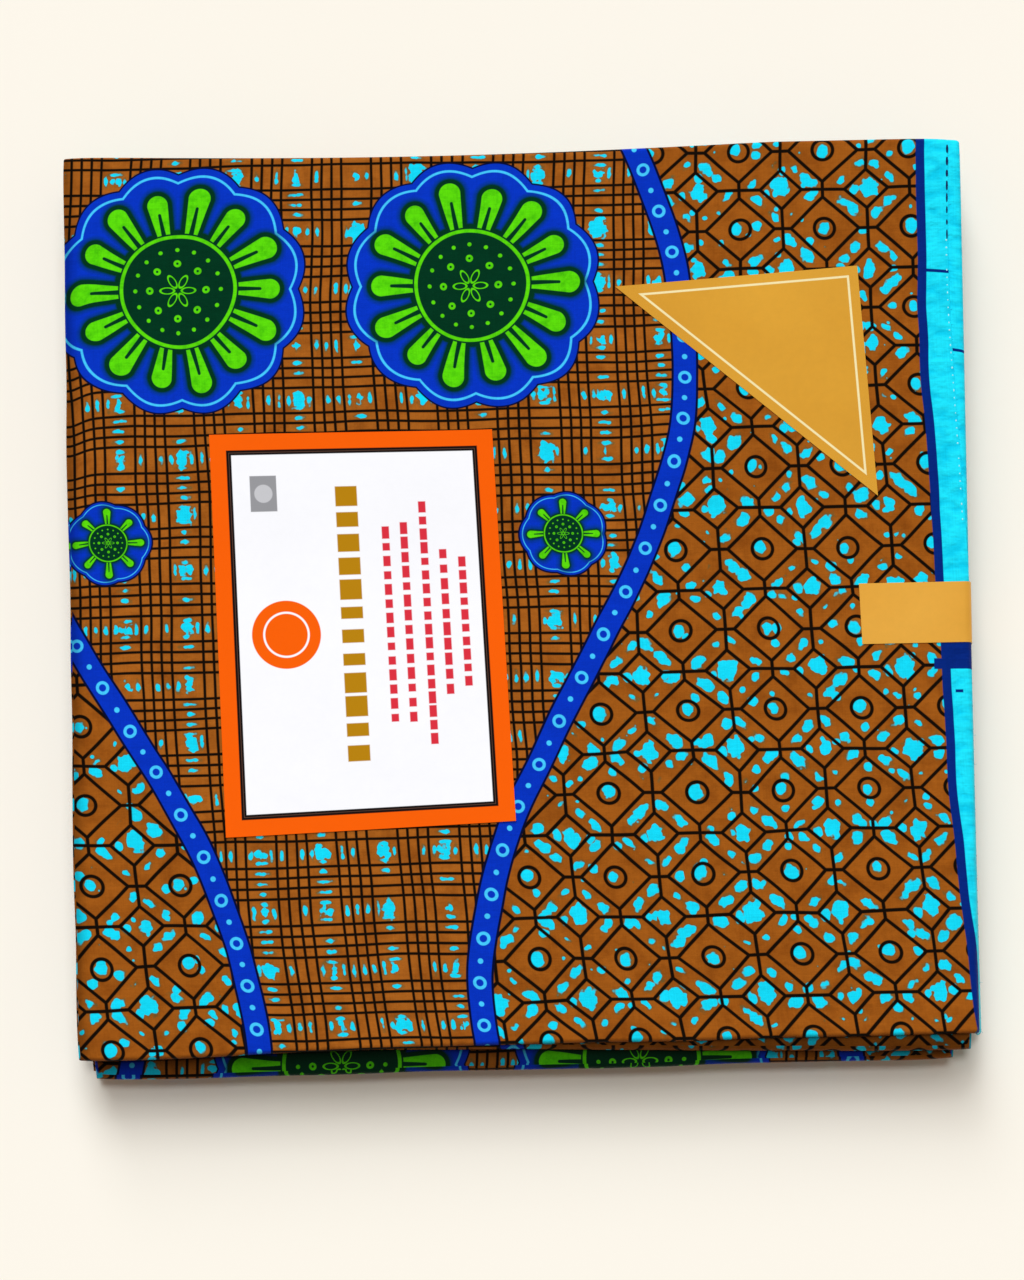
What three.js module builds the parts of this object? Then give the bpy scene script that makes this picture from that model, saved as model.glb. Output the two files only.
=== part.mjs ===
// A wax print cloth of six yards, folded for sale and lying flat: in four across its width, then
// to and fro along its length. A paper label, a three-cornered seal and an edge tape lie on it.
// Millimetres. X runs along the front edge, Y away from the front, Z up from the table top.
import * as THREE from "three";

// ---- the cloth ----
const CLOTH_WIDTH = 1200; // selvedge to selvedge
const PLIES_ACROSS = 4; // plies in one panel, from the folds across the width
const PLY = 0.36; // one ply with the air held under it
const PANEL = PLIES_ACROSS * PLY; // height of one panel
const LOOP = 2 * PANEL; // height of one fold loop, two panels
const FOLDED_WIDTH = CLOTH_WIDTH / PLIES_ACROSS;
const GAP = 0.3; // clear space between solids

// ---- outline of the top panel, seen from above ----
const BACK_Y = 154.6; // back edge
const BACK_DIP = 2.4; // the back edge bows in by this left of its middle
const FRONT_LEFT_Y = -155.4;
const FRONT_RIGHT_Y = -152.7;
const LEFT_BACK_X = -153.0;
const LEFT_FRONT_X = LEFT_BACK_X + 2.3;
const SIDE_BACK_X = LEFT_BACK_X + FOLDED_WIDTH + 7.4; // outer face of the hanging selvedge
const SIDE_FRONT_X = LEFT_FRONT_X + FOLDED_WIDTH + 0.6;
const CORNER = 3.2; // the corners are drawn in by this

// ---- the selvedge of the top ply, skewed so that it hangs over the side toward the front ----
const SELVEDGE_BACK_X = 150.5; // flat distance from the middle of the panel to the edge
const SELVEDGE_FRONT_X = 159.2;
const BEND_RADIUS = 2.2; // outer radius where the ply turns down
const HANG_ANGLE = (82 * Math.PI) / 180; // slope of the hanging strip from level

// ---- heights ----
const PANELS = 18;
const TOP_Z = PANELS * PANEL; // nominal top of the folded cloth
const TOP_PANEL = 1.5; // thickness of the top panel
const CORE_PANELS = 12;
const CORE_Z = 17.6; // top of the hidden layers
const THIRD_Z = CORE_Z + GAP + LOOP; // top of the third fold
const SIDE_CLEAR = TOP_PANEL + GAP; // the layers under the hanging strip stand back by this
const UNDER_MARGIN = 0.5; // and by this more, so that the gap holds round the bend

// ---- soft swells of the upper surface: centre, reach and height of each ----
const SWELLS = [
  { x: -70, y: 95, reachX: 70, reachY: 55, rise: 0.45 },
  { x: 80, y: -70, reachX: 80, reachY: 60, rise: 0.55 },
  { x: -120, y: -115, reachX: 45, reachY: 45, rise: 0.4 },
  { x: 60, y: 75, reachX: 75, reachY: 50, rise: 0.35 },
  { x: 10, y: 8, reachX: 150, reachY: 22, rise: -0.45 },
  { x: -12, y: -60, reachX: 32, reachY: 120, rise: -0.3 },
];

// ---- fold loops of the hidden layers, lowest first: how far each edge stands out ----
const LOOPS = [
  { front: -2.6, back: -0.6, left: -1.6, right: -1.2, skew: 0.6 },
  { front: -1.2, back: -1.8, left: -0.4, right: -2.2, skew: -0.8 },
  { front: -3.4, back: -0.2, left: -1.9, right: -0.6, skew: 0.9 },
  { front: -1.8, back: -1.5, left: -0.8, right: -1.8, skew: -0.4 },
  { front: -0.4, back: -2.2, left: -2.2, right: -0.4, skew: 0.5 },
  { front: -1.6, back: -0.8, left: -1.0, right: -1.4, skew: -0.7 },
];
const CORE_FRONT_Y = -158.6;
const CORE_BACK_Y = 154.2;
const CORE_LEFT_X = -151.2;
const LOOP_GROOVE = 1.1; // depth of the groove between two loops
const PANEL_GROOVE = 0.55; // depth of the groove between two panels at the sides
const CORE_CORNER = 4.2;
const CORNER_STEPS = [0, 0.01, 0.03, 0.06, 0.12]; // spacing of ring points from each corner

// ---- label, seal and tape ----
const PAPER = 0.6; // thickness given to the stuck pieces
const LABEL_CORNERS = { backLeft: [-104.0, 56.7], backRight: [-8.1, 56.3], frontRight: [-2.9, -77.7],
  frontLeft: [-100.1, -81.3] };
const SEAL_CORNERS = { left: [34.8, 105.1], right: [117.4, 110.6], front: [121.9, 30.6] };
const SEAL_ROWS = 9;
const TAPE_START_X = 114.5;
const TAPE_BACK_Y = 0.6;
const TAPE_FRONT_Y = -20.2;
const TAPE_HANG = 13; // length of the tape down the side

const COTTON = new THREE.MeshStandardMaterial({ name: "wax_cotton", color: 0x9a5a1c, roughness: 0.7 });
const LABEL_PAPER = new THREE.MeshStandardMaterial({ name: "label_paper", color: 0xf3f0f2, roughness: 0.5 });
const GOLD_PAPER = new THREE.MeshStandardMaterial({ name: "gold_paper", color: 0xcc9428, roughness: 0.4 });

const mix = (a, b, t) => a + (b - a) * t;

/** How far y lies from the front edge to the back edge, 0 to 1. */
const depthAt = (y) => (y - FRONT_LEFT_Y) / (BACK_Y - FRONT_LEFT_Y);

/** Outer face of the hanging selvedge at y. */
const sideX = (y) => mix(SIDE_FRONT_X, SIDE_BACK_X, depthAt(y));

/** Flat distance to the edge of the top ply at y. */
const selvedgeX = (y) => mix(SELVEDGE_FRONT_X, SELVEDGE_BACK_X, depthAt(y));

/** Right edge of a layer under the top panel: clear of the hanging strip, flush behind it. */
function underSideX(y, flare) {
  const t = Math.min(Math.max((y - 112) / 36, 0), 1);
  return sideX(y) - SIDE_CLEAR - UNDER_MARGIN + flare * t * t * (3 - 2 * t);
}

/** Height of the upper surface of the folded cloth. */
function topZ(x, y) {
  let z = TOP_Z;
  for (const s of SWELLS) {
    const dx = (x - s.x) / s.reachX;
    const dy = (y - s.y) / s.reachY;
    z += s.rise * Math.exp(-dx * dx - dy * dy);
  }
  return z;
}

/** Point on a surface lying `lift` above the upper face of the top panel, at flat distance s. */
function overSide(s, y, lift) {
  const side = sideX(y);
  const start = side - BEND_RADIUS;
  const z = topZ(Math.min(s, start), y);
  if (s <= start) {
    return [s, y, z + lift];
  }
  const pathRadius = BEND_RADIUS - TOP_PANEL / 2;
  const angle = Math.min((s - start) / pathRadius, HANG_ANGLE);
  const rest = Math.max(s - start - HANG_ANGLE * pathRadius, 0);
  const radius = BEND_RADIUS + lift;
  const x = start + radius * Math.sin(angle) + rest * Math.cos(HANG_ANGLE);
  return [x, y, z - BEND_RADIUS + radius * Math.cos(angle) - rest * Math.sin(HANG_ANGLE)];
}

/** Rounding of an edge: 0 on the edge, 1 at `reach` from it. */
function roundOff(distance, reach) {
  const t = Math.min(distance / reach, 1);
  return Math.sqrt(Math.max(1 - (1 - t) * (1 - t), 0));
}

/** Distances 0 to `length`: close steps by both ends, even steps between. */
function steps(length, near, far, count) {
  const inner = [];
  const first = near[near.length - 1];
  const last = length - far[far.length - 1];
  for (let i = 1; i < count; i += 1) {
    inner.push(mix(first, last, i / count));
  }
  return [...near, ...inner, ...far.map((d) => length - d).reverse()];
}

/** Mesh from a list of points and a list of triangles. */
function solid(name, points, triangles, material) {
  const geometry = new THREE.BufferGeometry();
  geometry.setAttribute("position", new THREE.Float32BufferAttribute(points.flat(), 3));
  geometry.setIndex(triangles.flat());
  geometry.computeVertexNormals();
  const mesh = new THREE.Mesh(geometry, material);
  mesh.name = name;
  return mesh;
}

/** Closed sheet over a grid of us by vs, from an upper and a lower point at each crossing. */
function sheet(name, us, vs, upper, lower, material) {
  const points = [];
  const triangles = [];
  const columns = us.length;
  const rows = vs.length;
  for (const surface of [upper, lower]) {
    for (const v of vs) {
      for (const u of us) {
        points.push(surface(u, v));
      }
    }
  }
  const at = (side, i, j) => side * columns * rows + j * columns + i;
  for (let j = 0; j + 1 < rows; j += 1) {
    for (let i = 0; i + 1 < columns; i += 1) {
      triangles.push([at(0, i, j), at(0, i + 1, j), at(0, i + 1, j + 1)]);
      triangles.push([at(0, i, j), at(0, i + 1, j + 1), at(0, i, j + 1)]);
      triangles.push([at(1, i, j), at(1, i + 1, j + 1), at(1, i + 1, j)]);
      triangles.push([at(1, i, j), at(1, i, j + 1), at(1, i + 1, j + 1)]);
    }
  }
  const wall = (a, b) => {
    triangles.push([a[0], a[1], b[1]]);
    triangles.push([a[0], b[1], b[0]]);
  };
  for (let i = 0; i + 1 < columns; i += 1) {
    wall([at(0, i, 0), at(1, i, 0)], [at(0, i + 1, 0), at(1, i + 1, 0)]);
    wall([at(0, i + 1, rows - 1), at(1, i + 1, rows - 1)], [at(0, i, rows - 1), at(1, i, rows - 1)]);
  }
  for (let j = 0; j + 1 < rows; j += 1) {
    wall([at(0, 0, j + 1), at(1, 0, j + 1)], [at(0, 0, j), at(1, 0, j)]);
    wall([at(0, columns - 1, j), at(1, columns - 1, j)],
      [at(0, columns - 1, j + 1), at(1, columns - 1, j + 1)]);
  }
  return solid(name, points, triangles, material);
}

/** Inward pull near the ends of an edge, for the rounded corners; t runs 0 to 1 along the edge. */
const cornerPull = (t, pull) => pull * Math.pow(Math.abs(2 * t - 1), 28);

/** The top panel: rounded on its folds, its selvedge hanging over the side toward the front. */
function topPanel() {
  const rim = 2.4;
  const half = TOP_PANEL / 2;
  const width = SELVEDGE_FRONT_X - LEFT_FRONT_X;
  const depth = BACK_Y - FRONT_LEFT_Y;
  const edge = 0.06; // half thickness left on the rim
  const us = steps(width, [0, 0.2, 0.9, 2.4, 7], [0, 0.3, 1.2, 2.6, 4, 5.5, 7, 8.5, 10, 12, 16], 13);
  const vs = steps(depth, [0, 0.2, 0.9, 2.4, 7], [0, 0.2, 0.9, 2.4, 7], 15);
  const place = (u, v, sign) => {
    const tu = u / width;
    const tv = v / depth;
    const front = mix(FRONT_LEFT_Y, FRONT_RIGHT_Y, tu) + cornerPull(tu, CORNER);
    const back = BACK_Y - BACK_DIP * Math.sin(Math.PI * Math.min(tu / 0.8, 1)) - cornerPull(tu, CORNER);
    const y = mix(front, back, tv);
    const left = mix(LEFT_FRONT_X, LEFT_BACK_X, depthAt(y)) + cornerPull(tv, CORNER);
    const right = selvedgeX(y) - cornerPull(tv, CORNER);
    const s = mix(left, right, tu);
    const round = roundOff(u, rim) * roundOff(v, rim) * roundOff(width - u, 0.9) * roundOff(depth - v, rim);
    return overSide(s, y, -half + sign * Math.max(half * round, edge));
  };
  return sheet("top_panel", us, vs, (u, v) => place(u, v, 1), (u, v) => place(u, v, -1), COTTON);
}

/** A fold loop under the top panel, between two heights, standing out a little at its edges. */
function foldLoop(name, outline, upperZ, lowerZ) {
  const rim = 1.5;
  const edge = 0.06;
  const width = SIDE_FRONT_X - outline.frontLeft;
  const depth = outline.backY - outline.frontLeftY;
  const us = steps(width, [0, 0.2, 0.7, 1.5], [0, 0.2, 0.7, 1.5], 14);
  const vs = steps(depth, [0, 0.2, 0.7, 1.5], [0, 0.2, 0.7, 1.5], 12);
  const place = (u, v, sign) => {
    const tu = u / width;
    const tv = v / depth;
    const front = mix(outline.frontLeftY, outline.frontRightY, tu) + cornerPull(tu, CORNER);
    const y = mix(front, outline.backY - cornerPull(tu, CORNER), tv);
    const left = mix(outline.frontLeft, outline.backLeft, tv) + cornerPull(tv, CORNER);
    const right = underSideX(y, outline.flare) - outline.inset - cornerPull(tv, CORNER);
    const x = mix(left, right, tu);
    const round = roundOff(u, rim) * roundOff(v, rim) * roundOff(width - u, rim) * roundOff(depth - v, rim);
    const high = upperZ(x, y);
    const middle = (high + lowerZ) / 2;
    return [x, y, middle + sign * Math.max(((high - lowerZ) / 2) * round, edge)];
  };
  return sheet(name, us, vs, (u, v) => place(u, v, 1), (u, v) => place(u, v, -1), COTTON);
}

/** The hidden layers as one rounded solid, grooved between the loops and the panels. */
function foldedLayers() {
  const panel = CORE_Z / CORE_PANELS;
  const points = [];
  const triangles = [];
  const heights = [];
  for (let k = 0; k <= 2 * CORE_PANELS; k += 1) {
    heights.push((k * panel) / 2);
  }
  // one closed ring of plan points, as fractions -1 to 1 of the half width and half depth,
  // closer by the corners; each side leaves its last point to the next side
  const along = steps(2, CORNER_STEPS, CORNER_STEPS, 7).map((d) => d - 1).slice(0, -1);
  const ring = [
    ...along.map((t) => [t, -1]),
    ...along.map((t) => [1, t]),
    ...along.map((t) => [-t, 1]),
    ...along.map((t) => [-1, -t]),
  ];
  const arc = (t) => 1 - Math.sqrt(1 - (2 * t - 1) * (2 * t - 1));
  heights.forEach((z, k) => {
    const row = LOOPS[Math.min(Math.floor(k / 4), LOOPS.length - 1)];
    const backRow = LOOPS[Math.min(Math.floor((k + 2) / 4), LOOPS.length - 1)];
    const loopInset = LOOP_GROOVE * arc((k % 4) / 4);
    const backInset = LOOP_GROOVE * arc(((k + 2) % 4) / 4);
    const panelInset = PANEL_GROOVE * arc((k % 2) / 2);
    const endInset = k === 0 || k === heights.length - 1 ? 0.5 : 0;
    const front = CORE_FRONT_Y + loopInset + endInset - row.front;
    const back = CORE_BACK_Y - backInset - endInset + backRow.back;
    const left = CORE_LEFT_X + panelInset + endInset - row.left;
    for (const [a, b] of ring) {
      const pullX = cornerPull((b + 1) / 2, CORE_CORNER);
      const pullY = cornerPull((a + 1) / 2, CORE_CORNER);
      const right = underSideX(mix(CORE_FRONT_Y, CORE_BACK_Y, (b + 1) / 2), 0) - panelInset - endInset;
      const x = a < 0 ? (left + pullX) * -a : (right + row.right - pullX) * a;
      const skew = row.skew * a * Math.min(1 - b, 1);
      const y = b < 0 ? (front + pullY) * -b + skew : (back - pullY) * b + skew;
      points.push([x, y, z]);
    }
  });
  const count = ring.length;
  for (let k = 0; k + 1 < heights.length; k += 1) {
    for (let i = 0; i < count; i += 1) {
      const a = k * count + i;
      const b = k * count + ((i + 1) % count);
      triangles.push([a, b, b + count]);
      triangles.push([a, b + count, a + count]);
    }
  }
  const bottom = points.length;
  points.push([0, 0, 0]);
  points.push([0, 0, CORE_Z]);
  const last = (heights.length - 1) * count;
  for (let i = 0; i < count; i += 1) {
    const next = (i + 1) % count;
    triangles.push([bottom, next, i]);
    triangles.push([bottom + 1, last + i, last + next]);
  }
  return solid("folded_layers", points, triangles, COTTON);
}

/** The four-cornered paper label, made on the top panel and moved out. */
function paperLabel() {
  const c = LABEL_CORNERS;
  const ts = Array.from({ length: 9 }, (_, i) => i / 8);
  const place = (u, v, lift) => {
    const x = mix(mix(c.frontLeft[0], c.frontRight[0], u), mix(c.backLeft[0], c.backRight[0], u), v);
    const y = mix(mix(c.frontLeft[1], c.frontRight[1], u), mix(c.backLeft[1], c.backRight[1], u), v);
    return overSide(x, y, lift);
  };
  return sheet("paper_label", ts, ts, (u, v) => place(u, v, GAP + PAPER), (u, v) => place(u, v, GAP),
    LABEL_PAPER);
}

/** The three-cornered seal, made on the top panel and moved out. */
function cornerSeal() {
  const { left, right, front } = SEAL_CORNERS;
  const points = [];
  const triangles = [];
  const n = SEAL_ROWS;
  const index = (side, i, j) => side * (((n + 1) * (n + 2)) / 2) + (i * (i + 1)) / 2 + j;
  for (const lift of [GAP + PAPER, GAP]) {
    for (let i = 0; i <= n; i += 1) {
      for (let j = 0; j <= i; j += 1) {
        const toLeft = (i - j) / n;
        const toRight = j / n;
        const toFront = 1 - i / n;
        const x = left[0] * toLeft + right[0] * toRight + front[0] * toFront;
        const y = left[1] * toLeft + right[1] * toRight + front[1] * toFront;
        points.push(overSide(x, y, lift));
      }
    }
  }
  for (let i = 0; i < n; i += 1) {
    for (let j = 0; j <= i; j += 1) {
      triangles.push([index(0, i, j), index(0, i + 1, j + 1), index(0, i + 1, j)]);
      triangles.push([index(1, i, j), index(1, i + 1, j), index(1, i + 1, j + 1)]);
      if (j < i) {
        triangles.push([index(0, i, j), index(0, i, j + 1), index(0, i + 1, j + 1)]);
        triangles.push([index(1, i, j), index(1, i + 1, j + 1), index(1, i, j + 1)]);
      }
    }
  }
  const rim = [];
  for (let i = 0; i < n; i += 1) {
    rim.push([i, 0]);
  }
  for (let j = 0; j < n; j += 1) {
    rim.push([n, j]);
  }
  for (let i = n; i > 0; i -= 1) {
    rim.push([i, i]);
  }
  rim.forEach(([i, j], k) => {
    const [p, q] = rim[(k + 1) % rim.length];
    triangles.push([index(0, i, j), index(0, p, q), index(1, p, q)]);
    triangles.push([index(0, i, j), index(1, p, q), index(1, i, j)]);
  });
  return solid("corner_seal", points, triangles, GOLD_PAPER);
}

/** The tape that holds the selvedge, flat on the panel and down the side. */
function edgeTape() {
  const end = sideX(TAPE_BACK_Y) + TAPE_HANG;
  const length = end - TAPE_START_X;
  const near = [0, 6, 12, 18, 24, 30];
  const far = [0, 3.5, 7, 10.5, 12, 12.7, 13.4, 14.1, 14.8, 15.5];
  const us = steps(length, near, far, 2);
  const vs = [0, 0.25, 0.5, 0.75, 1];
  const place = (u, v, lift) => overSide(TAPE_START_X + u, mix(TAPE_FRONT_Y, TAPE_BACK_Y, v), lift);
  return sheet("edge_tape", us, vs, (u, v) => place(u, v, GAP + PAPER), (u, v) => place(u, v, GAP),
    GOLD_PAPER);
}

/** Moves every solid so that the middle of the whole is over the origin. */
function centred(group) {
  const middle = new THREE.Box3().setFromObject(group).getCenter(new THREE.Vector3());
  for (const mesh of group.children) {
    mesh.geometry.translate(-middle.x, -middle.y, 0);
  }
  return group;
}

const SECOND = { frontLeftY: -151.0, frontRightY: -158.0, backY: 152.6, frontLeft: -149.4, backLeft: -150.6,
  inset: 0.1, flare: 1.6 };
const THIRD = { frontLeftY: -161.4, frontRightY: -160.2, backY: 153.4, frontLeft: -147.6, backLeft: -152.0,
  inset: 0.8, flare: 0 };

const group = new THREE.Group();
group.name = "folded_wax_print_cloth";
group.add(topPanel());
group.add(foldLoop("second_fold", SECOND, (x, y) => topZ(x, y) - TOP_PANEL - GAP, THIRD_Z + GAP));
group.add(foldLoop("third_fold", THIRD, () => THIRD_Z, CORE_Z + GAP));
group.add(foldedLayers());
group.add(paperLabel());
group.add(cornerSeal());
group.add(edgeTape());

export default centred(group);
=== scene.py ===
"""A folded wax print cloth with its paper label, three-cornered seal and edge tape."""

from __future__ import annotations

import logging
import math
import random
from dataclasses import dataclass, field
from enum import Enum
from functools import partial, reduce
from typing import Callable, ClassVar, Sequence

import bpy  # noqa: E402
import numpy as np  # noqa: E402
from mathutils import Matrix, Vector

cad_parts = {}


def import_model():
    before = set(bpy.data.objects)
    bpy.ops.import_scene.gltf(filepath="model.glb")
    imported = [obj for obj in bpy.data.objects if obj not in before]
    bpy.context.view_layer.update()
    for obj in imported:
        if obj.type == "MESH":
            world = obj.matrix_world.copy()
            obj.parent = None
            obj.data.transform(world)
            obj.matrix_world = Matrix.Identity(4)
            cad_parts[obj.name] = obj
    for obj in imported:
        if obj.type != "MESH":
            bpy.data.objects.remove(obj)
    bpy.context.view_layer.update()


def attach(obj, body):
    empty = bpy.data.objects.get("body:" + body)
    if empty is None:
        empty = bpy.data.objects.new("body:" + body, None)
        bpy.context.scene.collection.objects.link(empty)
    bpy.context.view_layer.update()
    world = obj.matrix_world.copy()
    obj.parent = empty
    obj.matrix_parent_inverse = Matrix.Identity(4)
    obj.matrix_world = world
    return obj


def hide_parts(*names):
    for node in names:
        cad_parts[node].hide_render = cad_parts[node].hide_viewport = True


LOG = logging.getLogger("folded_cloth")
MM = 0.001
BODY = "root"
CLOTH_UV = "Cloth"
BAKE_UV = "OFBake"
# painted shade: the name of a point value that darkens the cloth's colour in its folds and under
# edges
FOLD_SHADE = "fold_shade"
OUTWARD = "outward"
CUT_EDGE = math.radians(55)

Array = np.ndarray
Number = float | int
Pair = tuple[float, float]
Piece = bpy.types.Object
Material = bpy.types.Material
Node = bpy.types.Node
Tree = bpy.types.NodeTree
Plug = bpy.types.NodeSocket


# ---- Form of the pile ----


def mix(a: Array | Number, b: Array | Number, t: Array | Number) -> Array | Number:
    """Blend from a to b by t."""
    return a + (b - a) * t


def soft_step(low: Number, high: Number, x: Array | Number) -> Array:
    """Smooth rise from 0 at low to 1 at high."""
    t = np.clip((np.asarray(x, float) - low) / (high - low), 0.0, 1.0)
    return t * t * (3.0 - 2.0 * t)


@dataclass(frozen=True)
class Swell:
    """A soft rise or dip of the upper surface, in millimetres."""

    x: float
    y: float
    reach_x: float
    reach_y: float
    rise: float


@dataclass(frozen=True)
class Crease:
    """A soft trough or ridge along a line, in millimetres."""

    x0: float
    y0: float
    x1: float
    y1: float
    width: float
    rise: float


SWELLS = (
    Swell(-70, 95, 70, 55, 0.45),
    Swell(80, -70, 80, 60, 0.55),
    Swell(-120, -115, 45, 45, 0.4),
    Swell(60, 75, 75, 50, 0.35),
    Swell(10, 8, 150, 22, -0.45),
    Swell(-12, -60, 32, 120, -0.3),
)

CREASES = (
    Crease(-150, 52, -108, 44, 3.0, -0.30),
    Crease(-151, 40, -112, 34, 2.4, 0.22),
    Crease(-146, -60, -108, -92, 4.0, -0.28),
    Crease(-128, -150, -104, -96, 3.5, 0.20),
    Crease(-60, -148, -36, -92, 4.5, -0.26),
    Crease(20, -150, 34, -70, 5.0, -0.24),
    Crease(60, -146, 66, -96, 3.2, 0.18),
    Crease(112, -6, 60, -26, 4.2, -0.30),
    Crease(113, -16, 78, -50, 3.4, 0.20),
    Crease(113, 2, 74, 22, 3.6, -0.22),
    Crease(128, 60, 140, 150, 4.0, -0.28),
    Crease(10, 62, 30, 148, 4.6, -0.22),
    Crease(-40, 66, -52, 150, 4.0, 0.16),
    Crease(-96, 62, -120, 148, 3.6, -0.20),
    Crease(134, -60, 146, -140, 3.0, 0.24),
)


@dataclass(frozen=True)
class Pile:
    """Outline and heights of the folded cloth, in millimetres, about the middle of its plan."""

    middle_x: float = 1.047
    middle_y: float = -3.338
    ply: float = 0.36
    panels: int = 18
    back_y: float = 154.6
    back_dip: float = 2.4
    front_left_y: float = -155.4
    front_right_y: float = -152.7
    left_back_x: float = -153.0
    left_front_x: float = -150.7
    side_back_x: float = 154.4
    side_front_x: float = 149.9
    selvedge_curve: tuple[float, ...] = (53.808, -117.799, 98.91, -45.995, 161.088)
    selvedge_mean: float = 150.5
    selvedge_dip: tuple[float, float, float] = (0.8, 98.0, 34.0)
    corner: float = 0.6
    bend_radius: float = 2.2
    hang_angle: float = math.radians(82)
    panel_height: float = 1.5
    core_z: float = 17.6
    gap: float = 0.3
    side_clear: float = 2.3
    sunk: float = 0.36
    sunk_from: Pair = (1.5, 9.0)
    flare_from: Pair = (112.0, 148.0)
    crease_stray: float = 0.88
    crease_fade: float = 0.42

    @property
    def top_z(self) -> float:
        """Nominal height of the upper surface."""
        return self.panels * 4 * self.ply

    def depth_at(self, y: Array | Number) -> Array | Number:
        """How far y lies from the front to the back, 0 to 1."""
        return (y - self.front_left_y) / (self.back_y - self.front_left_y)

    def side_x(self, y: Array | Number) -> Array | Number:
        """Outer face of the hanging selvedge at y."""
        return mix(self.side_front_x, self.side_back_x, self.depth_at(y))

    def left_x(self, y: Array | Number) -> Array | Number:
        """Left edge of the top panel at y."""
        return mix(self.left_front_x, self.left_back_x, self.depth_at(y))

    def selvedge_x(self, y: Array | Number) -> Array | Number:
        """Flat distance to the edge of the top ply at y, which wanders a little."""
        dip, middle, spread = self.selvedge_dip
        curve = np.polyval(self.selvedge_curve, np.clip(self.depth_at(y), 0.0, 1.0))
        return curve - dip * np.exp(-(((y - middle) / spread) ** 2))

    def under_side_x(self, y: Array, flare: float) -> Array:
        """Right edge of a layer under the top panel, spread at the back by flare."""
        return self.side_x(y) - self.side_clear + flare * soft_step(*self.flare_from, y)

    def sag(self, x: Array, y: Array) -> Array:
        """How far the hidden plies sink below the outer one, nothing at the edges."""
        ways = (x - self.left_x(y), self.side_x(y) - x, y - self.front_left_y, self.back_y - y)
        inward = np.minimum.reduce(ways)
        return self.sunk * soft_step(*self.sunk_from, inward)

    def height(self, x: Array, y: Array, creased: bool = True) -> Array:
        """Height of the upper surface.

        Args:
            x: plan positions across, in millimetres.
            y: plan positions away from the front, in millimetres.
            creased: whether the fine creases are added to the broad swells.

        Returns:
            Heights above the underside, in millimetres.
        """
        z = np.full(np.broadcast(x, y).shape, self.top_z)
        for s in SWELLS:
            away = ((x - s.x) / s.reach_x) ** 2 + ((y - s.y) / s.reach_y) ** 2
            z = z + s.rise * np.exp(-away)
        if creased:
            z = z + self.relief(x, y)
        return z

    def relief(self, x: Array, y: Array) -> Array:
        """Fine listed creases, each a bell-shaped trough or ridge along its line."""
        z = np.zeros(np.broadcast(x, y).shape)
        for c in CREASES:
            dx, dy = c.x1 - c.x0, c.y1 - c.y0
            t = ((x - c.x0) * dx + (y - c.y0) * dy) / (dx * dx + dy * dy)
            q = np.clip(t, 0.0, 1.0)
            stray = self.crease_stray * np.sin(5.0 * q + c.x0)
            off = np.hypot(x - c.x0 - q * dx, y - c.y0 - q * dy) - stray
            fade = np.exp(-(((q - 0.5) / self.crease_fade) ** 4))
            z = z + c.rise * fade * np.exp(-((off / c.width) ** 2))
        return z

    def over_side(
        self, s: Array, y: Array, lift: Array | Number, creased: bool = True,
        hang: float | None = None,
    ) -> Array:
        """Points over the top panel that turn down with it at the right side.

        Args:
            s: flat distance across from the middle, in millimetres.
            y: distance away from the middle, in millimetres.
            lift: height above the upper face of the top panel, in millimetres.
            creased: whether the fine creases are followed.
            hang: angle of what hangs, in radians, if not that of the cloth.

        Returns:
            Points in metres, one for each s and y, about the middle of the whole.
        """
        s, y, lift = np.broadcast_arrays(*(np.asarray(v, float) for v in (s, y, lift)))
        start = self.side_x(y) - self.bend_radius
        z = self.height(np.minimum(s, start), y, creased)
        path_radius = self.bend_radius - self.panel_height / 2
        hang = self.hang_angle if hang is None else hang
        angle = np.clip((s - start) / path_radius, 0.0, hang)
        rest = np.maximum(s - start - hang * path_radius, 0.0)
        radius = self.bend_radius + lift
        x = np.where(s <= start, s, start + radius * np.sin(angle) + rest * math.cos(hang))
        drop = radius * (np.cos(angle) - 1.0) - rest * math.sin(hang)
        z = np.where(s <= start, z + lift, z + lift + drop)
        return self.place(x, y, z)

    def place(self, x: Array, y: Array, z: Array) -> Array:
        """Plan points in millimetres as points in metres about the middle of the whole."""
        return np.stack([x - self.middle_x, y - self.middle_y, z], axis=-1) * MM


# ---- Mesh helpers ----


def link_object(name: str, data: bpy.types.ID) -> Piece:
    """Make an object at the origin and link it to the scene."""
    obj = bpy.data.objects.new(name, data)
    bpy.context.scene.collection.objects.link(obj)
    return obj


def make_object(
    name: str,
    points: Array,
    faces: Sequence[Sequence[int]],
    uvs: dict[str, Array] | None = None,
) -> Piece:
    """Make a smooth mesh object at the origin.

    Args:
        name: the piece's name.
        points: vertices in metres, one row each.
        faces: vertex numbers of each face, anticlockwise from outside.
        uvs: for each map's name, one pair for each corner in the order of the faces.

    Returns:
        The new object, linked to the scene.
    """
    mesh = bpy.data.meshes.new(name)
    mesh.from_pydata(points.tolist(), [], [list(f) for f in faces])
    for map_name, pairs in (uvs or {}).items():
        layer = mesh.uv_layers.new(name=map_name)
        layer.data.foreach_set("uv", np.asarray(pairs, np.float32).ravel())
    mesh.polygons.foreach_set("use_smooth", [True] * len(mesh.polygons))
    mesh.update()
    return link_object(name, mesh)


def keep_shade(obj: Piece, shade: Array) -> None:
    """Keep at each point how dark the cloth's colour is painted in the shade of its folds, 1 in the
    open.
    """
    kept = obj.data.attributes.new(FOLD_SHADE, "FLOAT", "POINT")
    kept.data.foreach_set("value", np.asarray(shade, np.float32).ravel())


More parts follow.
